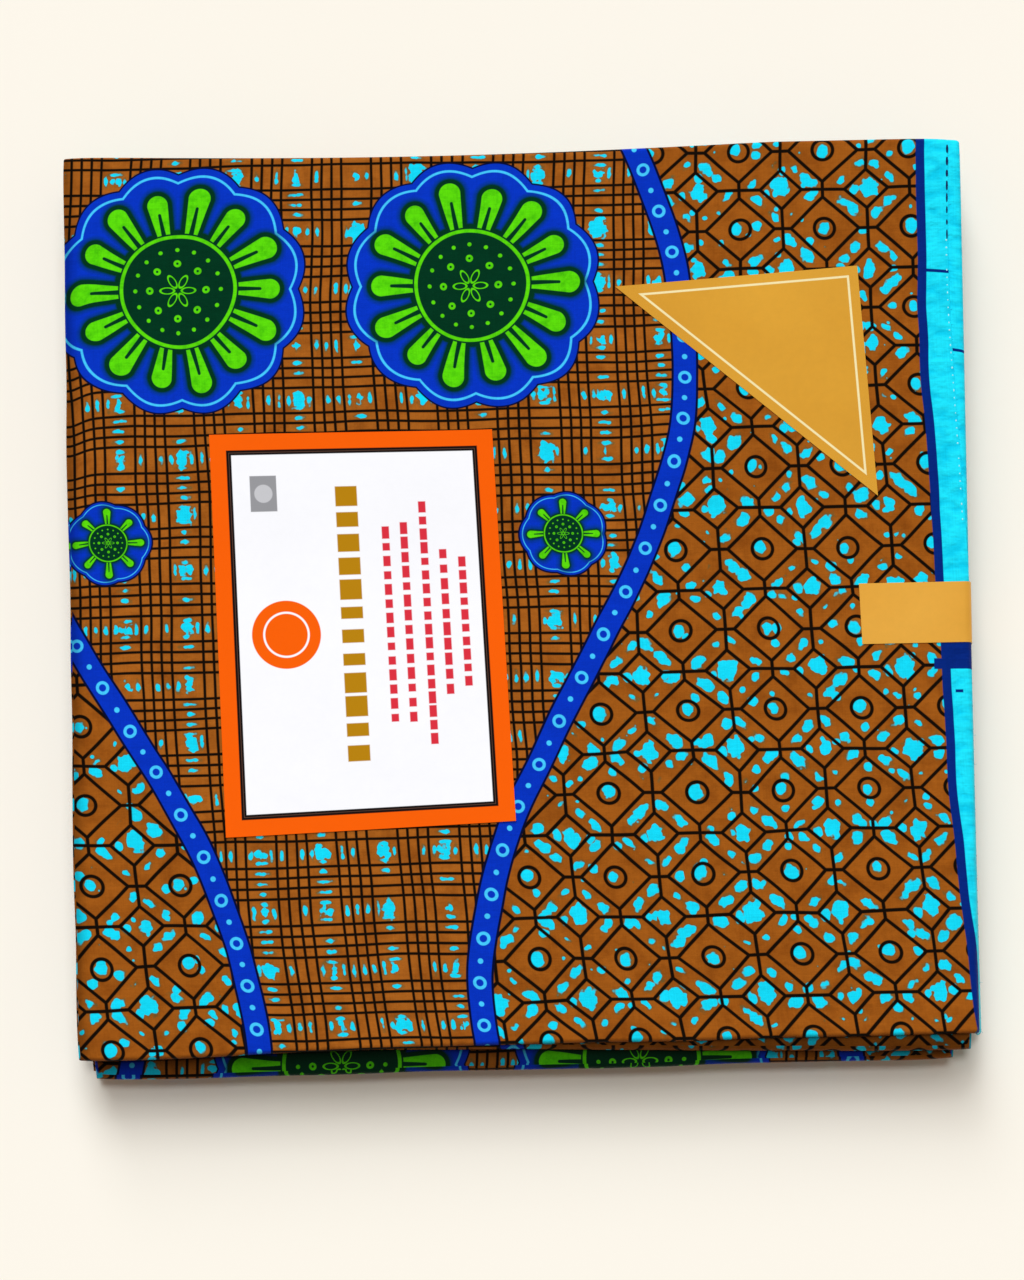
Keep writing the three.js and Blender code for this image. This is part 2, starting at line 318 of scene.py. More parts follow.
def grid_normals(grid: Array) -> Array:
    """Unit normals of a grid of points, by the differences along its rows and columns."""
    across = np.gradient(grid, axis=1)
    along = np.gradient(grid, axis=0)
    normal = np.cross(across, along)
    return normal / np.maximum(np.linalg.norm(normal, axis=-1, keepdims=True), 1e-12)


def shell(
    name: str, grid: Array, cloth: Array, bakes: tuple[Array, Array], thickness: float
) -> Piece:
    """Make a closed thin sheet about a grid of points.

    Args:
        name: the piece's name.
        grid: rows by columns of points in metres, on the middle of the sheet.
        cloth: rows by columns of pairs, the place on the flat cloth in metres.
        bakes: two such arrays of pairs for the bake, for the upper and the lower face.
        thickness: the sheet's thickness in metres.

    Returns:
        The sheet's object, with both UV maps.
    """
    rows, columns = grid.shape[:2]
    count = rows * columns
    half = grid_normals(grid) * thickness / 2
    points = np.concatenate([(grid + half).reshape(-1, 3), (grid - half).reshape(-1, 3)])
    number = np.arange(count).reshape(rows, columns)
    quad = (number[:-1, :-1], number[:-1, 1:], number[1:, 1:], number[1:, :-1])
    upper = np.stack(quad, axis=-1).reshape(-1, 4)
    rim = []
    ends = ((number[0], True), (number[-1], False), (number[:, 0], False), (number[:, -1], True))
    for run, flip in ends:
        for p, q in zip(run[:-1], run[1:]):
            face = [p, q, q + count, p + count]
            rim.append(face[::-1] if flip else face)
    faces = np.concatenate([upper, upper[:, ::-1] + count, np.asarray(rim)])
    corners = faces.ravel()
    on_rim = np.arange(len(corners)) >= 2 * upper.size
    bake = np.concatenate([face.reshape(-1, 2) for face in bakes])
    uvs = {
        CLOTH_UV: cloth.reshape(-1, 2)[corners % count],
        BAKE_UV: bake[np.where(on_rim, corners % count, corners)],
    }
    obj = make_object(name, points, faces, uvs)
    obj.data.set_sharp_from_angle(angle=CUT_EDGE)
    return obj


def close_steps(length: float, near: Sequence[float], far: Sequence[float], count: int) -> Array:
    """Distances 0 to length: close steps by both ends, count even steps between."""
    inner = np.linspace(near[-1], length - far[-1], count + 1)[1:-1]
    return np.concatenate([near, inner, length - np.asarray(far)[::-1]])


def corner_pull(t: Array, pull: float, sharp: int = 28) -> Array:
    """Inward pull near the ends of an edge, for the rounded corners."""
    return pull * np.abs(2 * t - 1) ** sharp


class Wander:
    """Smooth seeded waviness along a line, a sum of a few sines."""

    def __init__(self, seed: int, reach: float, size: float) -> None:
        """Draw the sines: the longest has the given reach, all stay within the given size."""
        draw = random.Random(seed)
        self.waves = [
            (
                size * draw.uniform(0.25, 0.5) / k,
                k * draw.uniform(0.8, 1.2) * math.tau / reach,
                draw.uniform(0, math.tau),
            )
            for k in (1, 2, 3)
        ]

    def __call__(self, x: Array) -> Array:
        """The waviness at x."""
        return sum(a * np.sin(w * x + p) for a, w, p in self.waves)


# ---- Node trees ----


def linear(colour: str) -> tuple[float, float, float, float]:
    """A colour written as six hexadecimal digits, as linear values with alpha."""
    parts = [int(colour[i : i + 2], 16) / 255 for i in (0, 2, 4)]
    red, green, blue = (
        c / 12.92 if c <= 0.04045 else ((c + 0.055) / 1.055) ** 2.4 for c in parts
    )
    return (red, green, blue, 1.0)


def arithmetic(operation: str, turned: bool = False) -> Callable[..., "Wire"]:
    """An operator of wires, one Math node; turned puts the other value first."""

    def act(wire: "Wire", *others: "Wire | Number") -> "Wire":
        """Add the node."""
        values = (*others, wire) if turned else (wire, *others)
        return wire.plan.math(operation, *values)

    return act


class Wire:
    """A value in a node tree, combined with others by ordinary arithmetic."""

    __add__ = arithmetic("ADD")
    __sub__ = arithmetic("SUBTRACT")
    __rsub__ = arithmetic("SUBTRACT", turned=True)
    __mul__ = arithmetic("MULTIPLY")
    __truediv__ = arithmetic("DIVIDE")
    __abs__ = arithmetic("ABSOLUTE")

    def __init__(self, plan: "NodePlan", socket: Plug) -> None:
        """Keep the tree's plan and the output socket."""
        self.plan = plan
        self.socket = socket


class NodePlan:
    """Adds nodes to one tree and joins them."""

    def __init__(self, tree: Tree) -> None:
        """Keep the tree."""
        self.tree = tree

    def node(
        self, kind: str, joins: dict[str | int, object] | None = None, **settings: object
    ) -> Node:
        """Add a node.

        Args:
            kind: the node's kind.
            joins: for each input's name or number, what it gets.
            **settings: the node's own properties.

        Returns:
            The new node.
        """
        made = self.tree.nodes.new(kind)
        for key, value in settings.items():
            setattr(made, key, value)
        for key, value in (joins or {}).items():
            self.join(value, made.inputs[key])
        return made

    def join(self, source: object, target: Plug) -> None:
        """Link a wire or socket to an input, or set the input to a plain value."""
        if isinstance(source, Wire):
            source = source.socket
        if isinstance(source, Plug):
            self.tree.links.new(source, target)
        else:
            target.default_value = source

    def math(self, operation: str, *values: Wire | Number, clamp: bool = False) -> Wire:
        """One Math node on up to three values."""
        joins = dict(enumerate(values))
        made = self.node("ShaderNodeMath", joins, operation=operation, use_clamp=clamp)
        return Wire(self, made.outputs[0])

    def least(self, *values: Wire) -> Wire:
        """The smallest of several values."""
        return reduce(partial(self.math, "MINIMUM"), values)

    def most(self, *values: Wire | Number) -> Wire:
        """The largest of several values."""
        return reduce(partial(self.math, "MAXIMUM"), values)

    def ramp(self, value: Wire, gain: float, start: float) -> Wire:
        """A value times gain, from start, kept between 0 and 1."""
        return self.math("MULTIPLY_ADD", value, gain, start, clamp=True)

    def inside(self, distance: Wire, soft: float = 0.25) -> Wire:
        """1 where a signed distance is below zero, 0 where it is above, with a soft edge."""
        return self.ramp(distance, -1.0 / soft, 0.5)

    def length(self, x: Wire, y: Wire) -> Wire:
        """Length of the arrow x, y."""
        return self.math("SQRT", x * x + y * y)

    def split(self, vector: Plug) -> tuple[Wire, Wire, Wire]:
        """The three parts of a vector."""
        made = self.node("ShaderNodeSeparateXYZ", {0: vector})
        return tuple(Wire(self, s) for s in made.outputs)

    def pair(self, x: Wire | Number, y: Wire | Number) -> Plug:
        """A vector from two parts."""
        return self.node("ShaderNodeCombineXYZ", {0: x, 1: y}).outputs[0]

    def vector(self, operation: str, joins: dict[str | int, object]) -> Plug:
        """One Vector Math node."""
        return self.node("ShaderNodeVectorMath", joins, operation=operation).outputs[0]

    def shade(self, colour: object, value: Wire | Number) -> Plug:
        """A colour or a place times a value."""
        source = colour[:3] if isinstance(colour, tuple) else colour
        return self.vector("SCALE", {0: source, "Scale": value})

    def noise(self, vector: Plug, scale: float, detail: float = 2.0,
              rough: float = 0.5, flat: bool = True) -> Wire:
        """Smooth noise about a half, on two or three dimensions."""
        joins = {"Vector": vector, "Scale": scale, "Detail": detail, "Roughness": rough}
        made = self.node("ShaderNodeTexNoise", joins, noise_dimensions="2D" if flat else "3D")
        return Wire(self, made.outputs[0])

    def lumps(self, x: Wire, y: Wire, scale: float, size: float) -> Wire:
        """Unevenness of an outline about zero."""
        return (self.noise(self.pair(x, y), scale, 1.2) - 0.5) * size

    def chance(self, x: Wire, y: Wire, salt: float) -> tuple[Wire, Wire, Wire]:
        """Three seeded draws from 0 to 1 for each whole-number place x, y."""
        joins = {"Vector": self.pair(x + salt, y + salt * 0.5)}
        made = self.node("ShaderNodeTexWhiteNoise", joins, noise_dimensions="2D")
        return self.split(made.outputs["Color"])

    def sector(self, r: Wire, angle: Wire, count: int) -> tuple[Wire, Wire, Wire]:
        """A round place in one of count equal sectors: along it, across it and its number."""
        width = math.tau / count
        turn = angle / width
        index = self.math("ROUND", turn)
        local = (turn - index) * width
        return r * self.math("COSINE", local), r * self.math("SINE", local), index

    def choose(self, mask: Wire, outside: Wire, inside: Wire) -> Wire:
        """A value that goes from outside to inside as the mask goes from 0 to 1."""
        joins = {0: mask, 2: outside, 3: inside}
        return Wire(self, self.node("ShaderNodeMix", joins, data_type="FLOAT").outputs[0])

    def blend(self, mask: Wire, below: object, above: object) -> Plug:
        """A colour that goes from below to above as the mask goes from 0 to 1."""
        joins = {"Factor": mask, 6: below, 7: above}
        return self.node("ShaderNodeMix", joins, data_type="RGBA").outputs[2]

    def paint(self, colour: object, *coats: tuple[Wire, str]) -> Plug:
        """Lay colours over a colour, each where its mask is 1."""
        for mask, hue in coats:
            colour = self.blend(mask, colour, linear(hue))
        return colour


class Socket(Enum):
    """Kinds of group socket."""

    VALUE = "NodeSocketFloat"
    VECTOR = "NodeSocketVector"
    GEOMETRY = "NodeSocketGeometry"
    MATERIAL = "NodeSocketMaterial"


class GroupPlan(NodePlan):
    """Builds one node group with named inputs and outputs."""

    def __init__(
        self, name: str, inputs: dict[str, Socket | float], outputs: dict[str, Socket],
        kind: str = "ShaderNodeTree",
    ) -> None:
        """Make the group's tree and its interface.

        Args:
            name: the group's name.
            inputs: for each input's name, its kind, or the usual value of a number.
            outputs: for each output's name, its kind.
            kind: the tree's kind.
        """
        super().__init__(bpy.data.node_groups.new(name, kind))
        for key, given in inputs.items():
            if isinstance(given, Socket):
                self._socket(key, "INPUT", given)
            else:
                self._socket(key, "INPUT", Socket.VALUE).default_value = given
        for key, given in outputs.items():
            self._socket(key, "OUTPUT", given)
        self.source = self.node("NodeGroupInput").outputs
        self.sink = self.node("NodeGroupOutput").inputs

    def _socket(self, name: str, way: str, kind: Socket) -> bpy.types.NodeTreeInterfaceSocket:
        """Add a socket to the interface."""
        return self.tree.interface.new_socket(name=name, in_out=way, socket_type=kind.value)

    def put(self, **values: Wire) -> None:
        """Join values to the outputs of the group."""
        for name, value in values.items():
            self.join(value, self.sink[name])


@dataclass
class GroupShelf:
    """Keeps each node group once and places it in trees by name."""

    made: dict[str, Tree] = field(default_factory=dict)

    def place(self, plan: NodePlan, name: str, build: Callable[[], GroupPlan],
              **values: object) -> dict[str, Wire]:
        """Put a group in a tree, building it first if it is new.

        Args:
            plan: the tree that takes the group.
            name: the group's name.
            build: makes the group.
            **values: what its inputs get.

        Returns:
            The group's outputs by name.
        """
        if name not in self.made:
            self.made[name] = build().tree
        node = plan.node("ShaderNodeGroup", values, node_tree=self.made[name])
        return {s.name: Wire(plan, s) for s in node.outputs}


SHELF = GroupShelf()


# ---- The print: a net, a line check, a ringed band and rosettes ----


def print_group(name: str, *outputs: str) -> tuple[GroupPlan, Wire, Wire]:
    """A group on the flat cloth, with the place across it and along it in millimetres."""
    g = GroupPlan(name, {"Cloth": Socket.VECTOR}, dict.fromkeys(outputs, Socket.VALUE))
    u, v, _ = g.split(g.source["Cloth"])
    return g, u, v


@dataclass(frozen=True)
class WaxSpot:
    """A lumpy spot in each cell of the net: its shift in cells, the rest in millimetres."""

    shift: float
    x: float
    y: float
    stray: float
    radius: float
    lumps: float
    salt: float


@dataclass(frozen=True)
class NetMotif:
    """Net of large and small diamonds with a ring in each large one, in millimetres."""

    pitch_x: float = 29.2
    pitch_y: float = 27.6
    start_x: float = 23.5
    start_y: float = 13.5
    lean: float = 0.021
    big: float = 0.40
    small: float = 0.75
    line: float = 1.2
    ring: float = 3.45
    lane: float = 0.575
    loose_scale: float = 0.105
    loose_reach: float = 9.5
    spots: tuple[WaxSpot, ...] = (
        WaxSpot(0.0, -0.7, 0.2, stray=1.6, radius=1.95, lumps=0.4, salt=1.3),
        WaxSpot(0.5, 0.4, 0.2, stray=2.2, radius=2.6, lumps=0.8, salt=5.7),
        WaxSpot(0.5, -4.4, -0.8, stray=1.8, radius=1.3, lumps=0.4, salt=2.9),
    )

    def build(self) -> GroupPlan:
        """The group that gives the distance to the lines and to the wax spots."""
        g, u, v = print_group("print net", "Line", "Spot")
        a = (u + v * self.lean - self.start_x) / self.pitch_x
        b = (v - self.start_y) / self.pitch_y
        fx, fy = g.math("PINGPONG", a, 0.5), g.math("PINGPONG", b, 0.5)
        lump = g.lumps(u, v, 0.36, 4.2)
        spots = [self._spot(g, a, b, rule, lump) for rule in self.spots]
        spots += self._lane_spots(g, a, b, fx - fy, fx + fy, lump)
        joins = {"Vector": g.pair(u, v), "Scale": self.loose_scale}
        near = g.node("ShaderNodeTexVoronoi", joins, voronoi_dimensions="2D")
        draw, _, _ = g.split(near.outputs["Color"])
        away = Wire(g, near.outputs["Distance"]) * self.loose_reach
        spots.append(away - (draw * 3.0 - 1.1) + lump * 0.4)
        g.put(Line=self._lines(g, fx, fy) - self.line / 2, Spot=g.least(*spots))
        return g

    def _across(self) -> float:
        """Length of a step of one across the slanting lines."""
        return 1.0 / math.hypot(1 / self.pitch_x, 1 / self.pitch_y)

    def _lines(self, g: GroupPlan, fx: Wire, fy: Wire) -> Wire:
        """Distance to the middle of the nearest line or ring."""
        across = self._across()
        x, y, both = fx * self.pitch_x, fy * self.pitch_y, fx + fy
        return g.least(
            abs(both - self.big) * across,
            abs(both - self.small) * across,
            g.most((0.5 - fy) * self.pitch_y, (fx - 0.25) * self.pitch_x),
            g.most((0.5 - fx) * self.pitch_x, (fy - 0.25) * self.pitch_y),
            g.most(y, (self.big - fx) * self.pitch_x),
            g.most(x, (self.big - fy) * self.pitch_y),
            abs(g.length(x, y) - self.ring),
        )

    def _lane_spots(self, g: GroupPlan, a: Wire, b: Wire, along: Wire, both: Wire,
                    lump: Wire) -> list[Wire]:
        """Two long spots in each lane between the diamonds.

        Args:
            g: the group's plan.
            a: the place across in cells.
            b: the place along in cells.
            along: the place along the slanting lines.
            both: the place across them.
            lump: the unevenness of the outlines.

        Returns:
            The signed distance to each of the two.
        """
        across = self._across()
        q1, q2, q3 = g.chance(g.math("FLOOR", a * 2.0), g.math("FLOOR", b * 2.0), 8.3)
        off = (both - self.lane) * across + (q2 - 0.5) * 0.8
        slides = ((q1 * 5.0 - 6.5, q2 * 1.1 + 0.9), (q3 * 5.0 + 1.5, q1 * 1.6 + 0.2))
        return [
            g.length((along * across - slide) * 0.66, off) - size + lump * 0.55
            for slide, size in slides
        ]

    def _spot(self, g: GroupPlan, a: Wire, b: Wire, spot: WaxSpot, lump: Wire) -> Wire:
        """One lumpy spot in each cell of the net.

        Args:
            g: the group's plan.
            a: the place across in cells.
            b: the place along in cells.
            spot: the spot's sizes.
            lump: the unevenness of its outline.

        Returns:
            The signed distance to it.
        """
        a, b = a - spot.shift, b - spot.shift
        cell_a, cell_b = g.math("ROUND", a), g.math("ROUND", b)
        r1, r2, r3 = g.chance(cell_a, cell_b, spot.salt)
        x = (a - cell_a) * self.pitch_x - (r1 - 0.5) * spot.stray - spot.x
        y = (b - cell_b) * self.pitch_y - (r2 - 0.5) * spot.stray - spot.y
        return g.length(x, y * 0.85) - (r3 * 0.5 + 0.75) * spot.radius + lump * spot.lumps


@dataclass(frozen=True)
class CheckMotif:
    """Check of grouped thin lines with spots in its open squares, in millimetres."""

    pitch: Pair = (20.6, 19.4)
    gap: Pair = (3.43, 3.5)
    line: float = 0.95
    reach: float = 6.2
    salts: Pair = (4.4, 9.2)

    def build(self) -> GroupPlan:
        """The group that gives the distance to the lines and to the wax spots."""
        g, *places = print_group("print check", "Line", "Spot")
        lump = g.lumps(*places, 0.42, 3.4)
        cells = [at / pitch for at, pitch in zip(places, self.pitch)]
        floors = [g.math("FLOOR", cell) for cell in cells]
        middles = [
            (0.5 - g.math("PINGPONG", cell, 0.5)) * pitch for cell, pitch in zip(cells, self.pitch)
        ]
        q1, q2, q3 = g.chance(*floors, 3.1)
        x = middles[0] + (q1 - 0.7) * 1.6
        y = (middles[1] + (q2 - 0.5) * 1.6) * 0.72
        lines, spots = [], [g.length(x, y) - (q3 * 1.6 + 0.7) + lump]
        for k, (at, pitch, gap, salt) in enumerate(zip(places, self.pitch, self.gap, self.salts)):
            cell = g.math("ROUND", cells[k])
            off = at - cell * pitch
            step = off / gap
            between = (0.5 - g.math("PINGPONG", step, 0.5)) * gap
            lines.append(g.most(between, abs(off) - self.reach))
            spots.append(self._slot(g, step, gap, middles[1 - k], cell, floors[1 - k], lump, salt))
        g.put(Line=g.least(*lines) - self.line / 2, Spot=g.least(*spots))
        return g

    @staticmethod
    def _slot(g: GroupPlan, steps: Wire, gap: float, along: Wire, cell: Wire, row: Wire,
              lump: Wire, salt: float) -> Wire:
        """Short spots held between two lines of a group.

        Args:
            g: the group's plan.
            steps: the place across the lines in gaps.
            gap: the distance between two lines.
            along: the place along the lines from the middle of an open square.
            cell: the number of the group.
            row: the number of the open square.
            lump: the unevenness of their outline.
            salt: what sets these draws apart.

        Returns:
            The signed distance to the nearest.
        """
        lane = g.math("ROUND", steps)
        q1, q2, _ = g.chance(lane + cell * 7.0, row, salt)
        size = g.math("GREATER_THAN", q2, 0.42) * 1.5 - 1.0
        away = g.length((steps - lane) * gap * 1.2, (along + (q1 - 0.5) * 2.0) * 0.48)
        return away - size - q1 * 0.5 + lump * 0.4


@dataclass(frozen=True)
class BandMotif:
    """Paired winding bands with rings and dots, in millimetres."""

    axis: float = -62.0
    repeat: float = 400.0
    half: float = 80.0
    swing: float = 42.0
    wave: float = 460.0
    start: float = -30.0
    width: float = 9.2
    edge: float = 0.8
    step: float = 14.6
    ring: float = 1.75
    ring_line: float = 0.52
    dot: float = 0.9

    def build(self) -> GroupPlan:
        """The group that gives where the band lies, what is on it and which side a point is."""
        g, u, v = print_group("print band", "Fill", "Edge", "Mark", "Within")
        off = g.math("PINGPONG", u - self.axis, self.repeat / 2)
        slope = g.math("COSINE", self._turn(v)) * (self.swing * math.tau / self.wave)
        stretch = g.math("SQRT", slope * slope + 1.0)
        within = self._aside(g, off, v) / stretch
        size = abs(within)
        ring_v = g.math("ROUND", v / self.step) * self.step
        dot_v = (g.math("FLOOR", v / self.step) + 0.5) * self.step
        from_ring, from_dot = (
            g.length(self._aside(g, off, at), v - at) for at in (ring_v, dot_v)
        )
        mark = g.least(abs(from_ring - self.ring) - self.ring_line, from_dot - self.dot)
        g.put(Fill=size - (self.width / 2 - self.edge), Edge=size - self.width / 2,
              Mark=mark, Within=within)
        return g

    def _turn(self, v: Wire) -> Wire:
        """How far along its wave the band is at v, in radians."""
        return (v - self.start) * (math.tau / self.wave)

    def _aside(self, g: GroupPlan, off: Wire, v: Wire) -> Wire:
        """Distance across the cloth to the middle of the band at v."""
        return off - g.math("SINE", self._turn(v)) * self.swing - self.half


@dataclass(frozen=True)
class RosetteMotif:
    """Round flower with slit petals in a scalloped surround, in millimetres at full size."""

    x: float
    y: float
    scale: float
    petals: int
    scallops: int
    repeat_x: float = 400.0
    repeat_y: float = 460.0
    axis: float = -62.0
    surround: float = 41.0
    trim: float = 38.3
    bulge: float = 3.0
    petal_from: float = 20.0
    petal_tip: float = 33.0
    slit_from: float = 19.0
    heart: float = 19.4

    def build(self) -> GroupPlan:
        """The group that gives the distances to the parts of the flower."""
        g, u, v = print_group(
            f"print rosette {self.petals}", "Surround", "Trim", "Field", "Bright"
        )
        x = (g.math("PINGPONG", u - self.axis, self.repeat_x / 2) - self.x) / self.scale
        up = v - self.y
        y = (up - g.math("ROUND", up / self.repeat_y) * self.repeat_y) / self.scale
        r, angle = g.length(x, y), g.math("ARCTAN2", y, x)
        edge = r - abs(g.math("SINE", angle * (self.scallops / 2))) * self.bulge
        px, py, index = g.sector(r, angle, self.petals)
        tip = g.math("PINGPONG", index, 1.0) * -1.8 + self.petal_tip
        reach = g.math("MINIMUM", g.most(px, self.petal_from), tip)
        petal = g.length(px - reach, py) - ((reach - self.petal_from) * 0.125 + 2.1)
        slit_end = g.math("MINIMUM", g.most(px, self.slit_from), tip - 3.4)
        slit = g.length(px - slit_end, py) - ((tip - slit_end) * 0.035 + 0.42)
        leaf = g.most(petal, slit * -1.0, self.heart + 1.2 - r)
        g.put(
            Surround=(edge - self.surround) * self.scale,
            Trim=(abs(edge - self.trim) - 0.42) * self.scale,
            Field=g.least(petal - 1.7, r - 22.0) * self.scale,
            Bright=g.least(leaf, abs(r - self.heart) - 0.6, self._seeds(g, r, angle)) * self.scale,
        )
        return g

    @staticmethod
    def _seeds(g: GroupPlan, r: Wire, angle: Wire) -> Wire:
        """Signed distance to the seeds: rings and dots in two rows, and leaves within them."""
        along, aside, _ = g.sector(r, angle, 8)
        rings = abs(g.length(along - 9.6, aside) - 0.85) - 0.42
        along, aside, _ = g.sector(r, angle, 16)
        dots = g.length(along - 14.6, aside) - 0.7
        along, aside, _ = g.sector(r, angle, 6)
        leaf = g.length(along - 3.6, aside * 2.2) - 2.7
        return g.least(rings, dots, g.most(leaf, leaf * -1.0 - 0.75))


@dataclass(frozen=True)
class SelvedgeMotif:
    """Plain bands along both selvedges, in millimetres on the flat cloth."""

    right: float = 150.5
    left: float = -1049.5
    plain: float = 8.0
    line: float = 3.0
    repeat: float = 460.0
    step_y: float = -27.4
    notch_y: float = -24.6
    dash_y: float = -36.6
    tick_y: float = 108.1

    def build(self) -> GroupPlan:
        """The group that gives the distance in from the nearer selvedge's plain band."""
        g, u, v = print_group("print selvedge", "Plain", "Line", "Notch")
        wobble = (g.noise(g.pair(u * 0.1, v), 0.05, 1.0) - 0.5) * 0.5
        inward = g.math("MINIMUM", self.right - u, u - self.left) + wobble
        repeat = v - g.math("ROUND", v / self.repeat) * self.repeat
        past_plain, past_line = inward - self.plain, inward - (self.plain + self.line)
        step = g.most(abs(repeat - self.step_y) - 1.8, past_line - 2.5)
        notch = g.most(abs(repeat - self.notch_y) - 4.6, past_plain - 0.6)
        dash = g.most(abs(repeat - self.dash_y) - 0.5, abs(inward - 5.4) - 1.3)
        tick = g.most(abs(repeat - self.tick_y - inward * 0.08) - 0.52, past_plain - 0.6)
        g.put(Plain=past_plain, Line=g.least(past_line, step), Notch=g.least(notch, dash, tick))
        return g


def weave_group(thread: float = 0.42) -> GroupPlan:
    """Plain weave: threads over and under, with slubs, as a height and a shade; the shade is partly
    painted shade, darker where each thread dips under, and partly uneven tone of the slubs.
    """
    g = GroupPlan("weave", {"Cloth": Socket.VECTOR, "Thread": thread},
                  {"Height": Socket.VALUE, "Shade": Socket.VALUE})
    u, v, _ = g.split(g.source["Cloth"])
    pitch = Wire(g, g.source["Thread"])
    a, b = u / pitch, v / pitch
    warp, weft = (abs(g.math("SINE", place * math.pi)) for place in (a, b))
    over = g.math("PINGPONG", g.math("FLOOR", a) + g.math("FLOOR", b), 1.0)
    height = warp * over + weft * (1.0 - over)
    long_ways = ((0.08, 2.2), (2.2, 0.08))
    across, along = (g.noise(g.pair(u * x, v * y), 1.0, 1.0) for x, y in long_ways)
    slub = across + along
    g.put(Height=height * 0.6 + slub * 0.4, Shade=height * 0.07 + slub * 0.16 + 0.8)
    return g


def blotch_group(amount: float = 0.2) -> GroupPlan:
    """Slow and quick unevenness of a dyed or printed surface, about one."""
    g = GroupPlan("blotches", {"Place": Socket.VECTOR, "Amount": amount},
                  {"Shade": Socket.VALUE, "Cloud": Socket.VALUE})
    slow = g.noise(g.source["Place"], 0.035, 3.0, 0.6, flat=False)
    quick = g.noise(g.source["Place"], 0.3, 4.0, 0.65, flat=False)
    cloud = slow * 0.55 + quick * 0.45
    g.put(Cloud=cloud, Shade=(cloud - 0.5) * Wire(g, g.source["Amount"]) * 2.0 + 1.0)
    return g


# ---- Finishes ----


class Surface(NodePlan):
    """One material with its Principled shader and the nodes that feed it."""

    def __init__(self, name: str) -> None:
        """Make the material."""
        self.material = bpy.data.materials.new(name)
        self.material.use_nodes = True
        super().__init__(self.material.node_tree)
        self.shader = self.tree.nodes["Principled BSDF"]

    def map_place(self) -> Plug:
        """The place on the piece's own map, in millimetres."""
        return self.shade(self.node("ShaderNodeUVMap", uv_map=CLOTH_UV).outputs[0], 1.0 / MM)

    def body_place(self) -> Plug:
        """The place on the whole body, in millimetres."""
        return self.shade(self.node("ShaderNodeTexCoord").outputs["Object"], 1.0 / MM)

    def mottle(
        self, place: Plug, amount: float, colour: object, dark: Wire | None = None
    ) -> Wire:
        """Colour the shader with soft blotches.

        Args:
            place: where the blotches lie.
            amount: how strong they are.
            colour: the colour that they make uneven.
            dark: a further value that the colour is multiplied by.

        Returns:
            The cloud that the blotches follow, about zero.
        """
        cloud = SHELF.place(self, "blotches", blotch_group, Place=place, Amount=amount)
        value = cloud["Shade"] if dark is None else cloud["Shade"] * dark
        self.join(self.shade(colour, value), self.shader.inputs["Base Color"])
        return cloud["Cloud"] - 0.5

    def bump(self, height: Wire, distance: float, strength: float) -> None:
        """Feed a height to the shader's normal, its distance in millimetres."""
        joins = {"Distance": distance * MM, "Strength": strength, "Height": height}
        made = self.node("ShaderNodeBump", joins)
        self.join(made.outputs[0], self.shader.inputs["Normal"])

    def finish(self, joins: dict[str, object]) -> Material:
        """Join or set the shader's other inputs and give the material back."""
        for key, value in joins.items():
            self.join(value, self.shader.inputs[key])
        return self.material


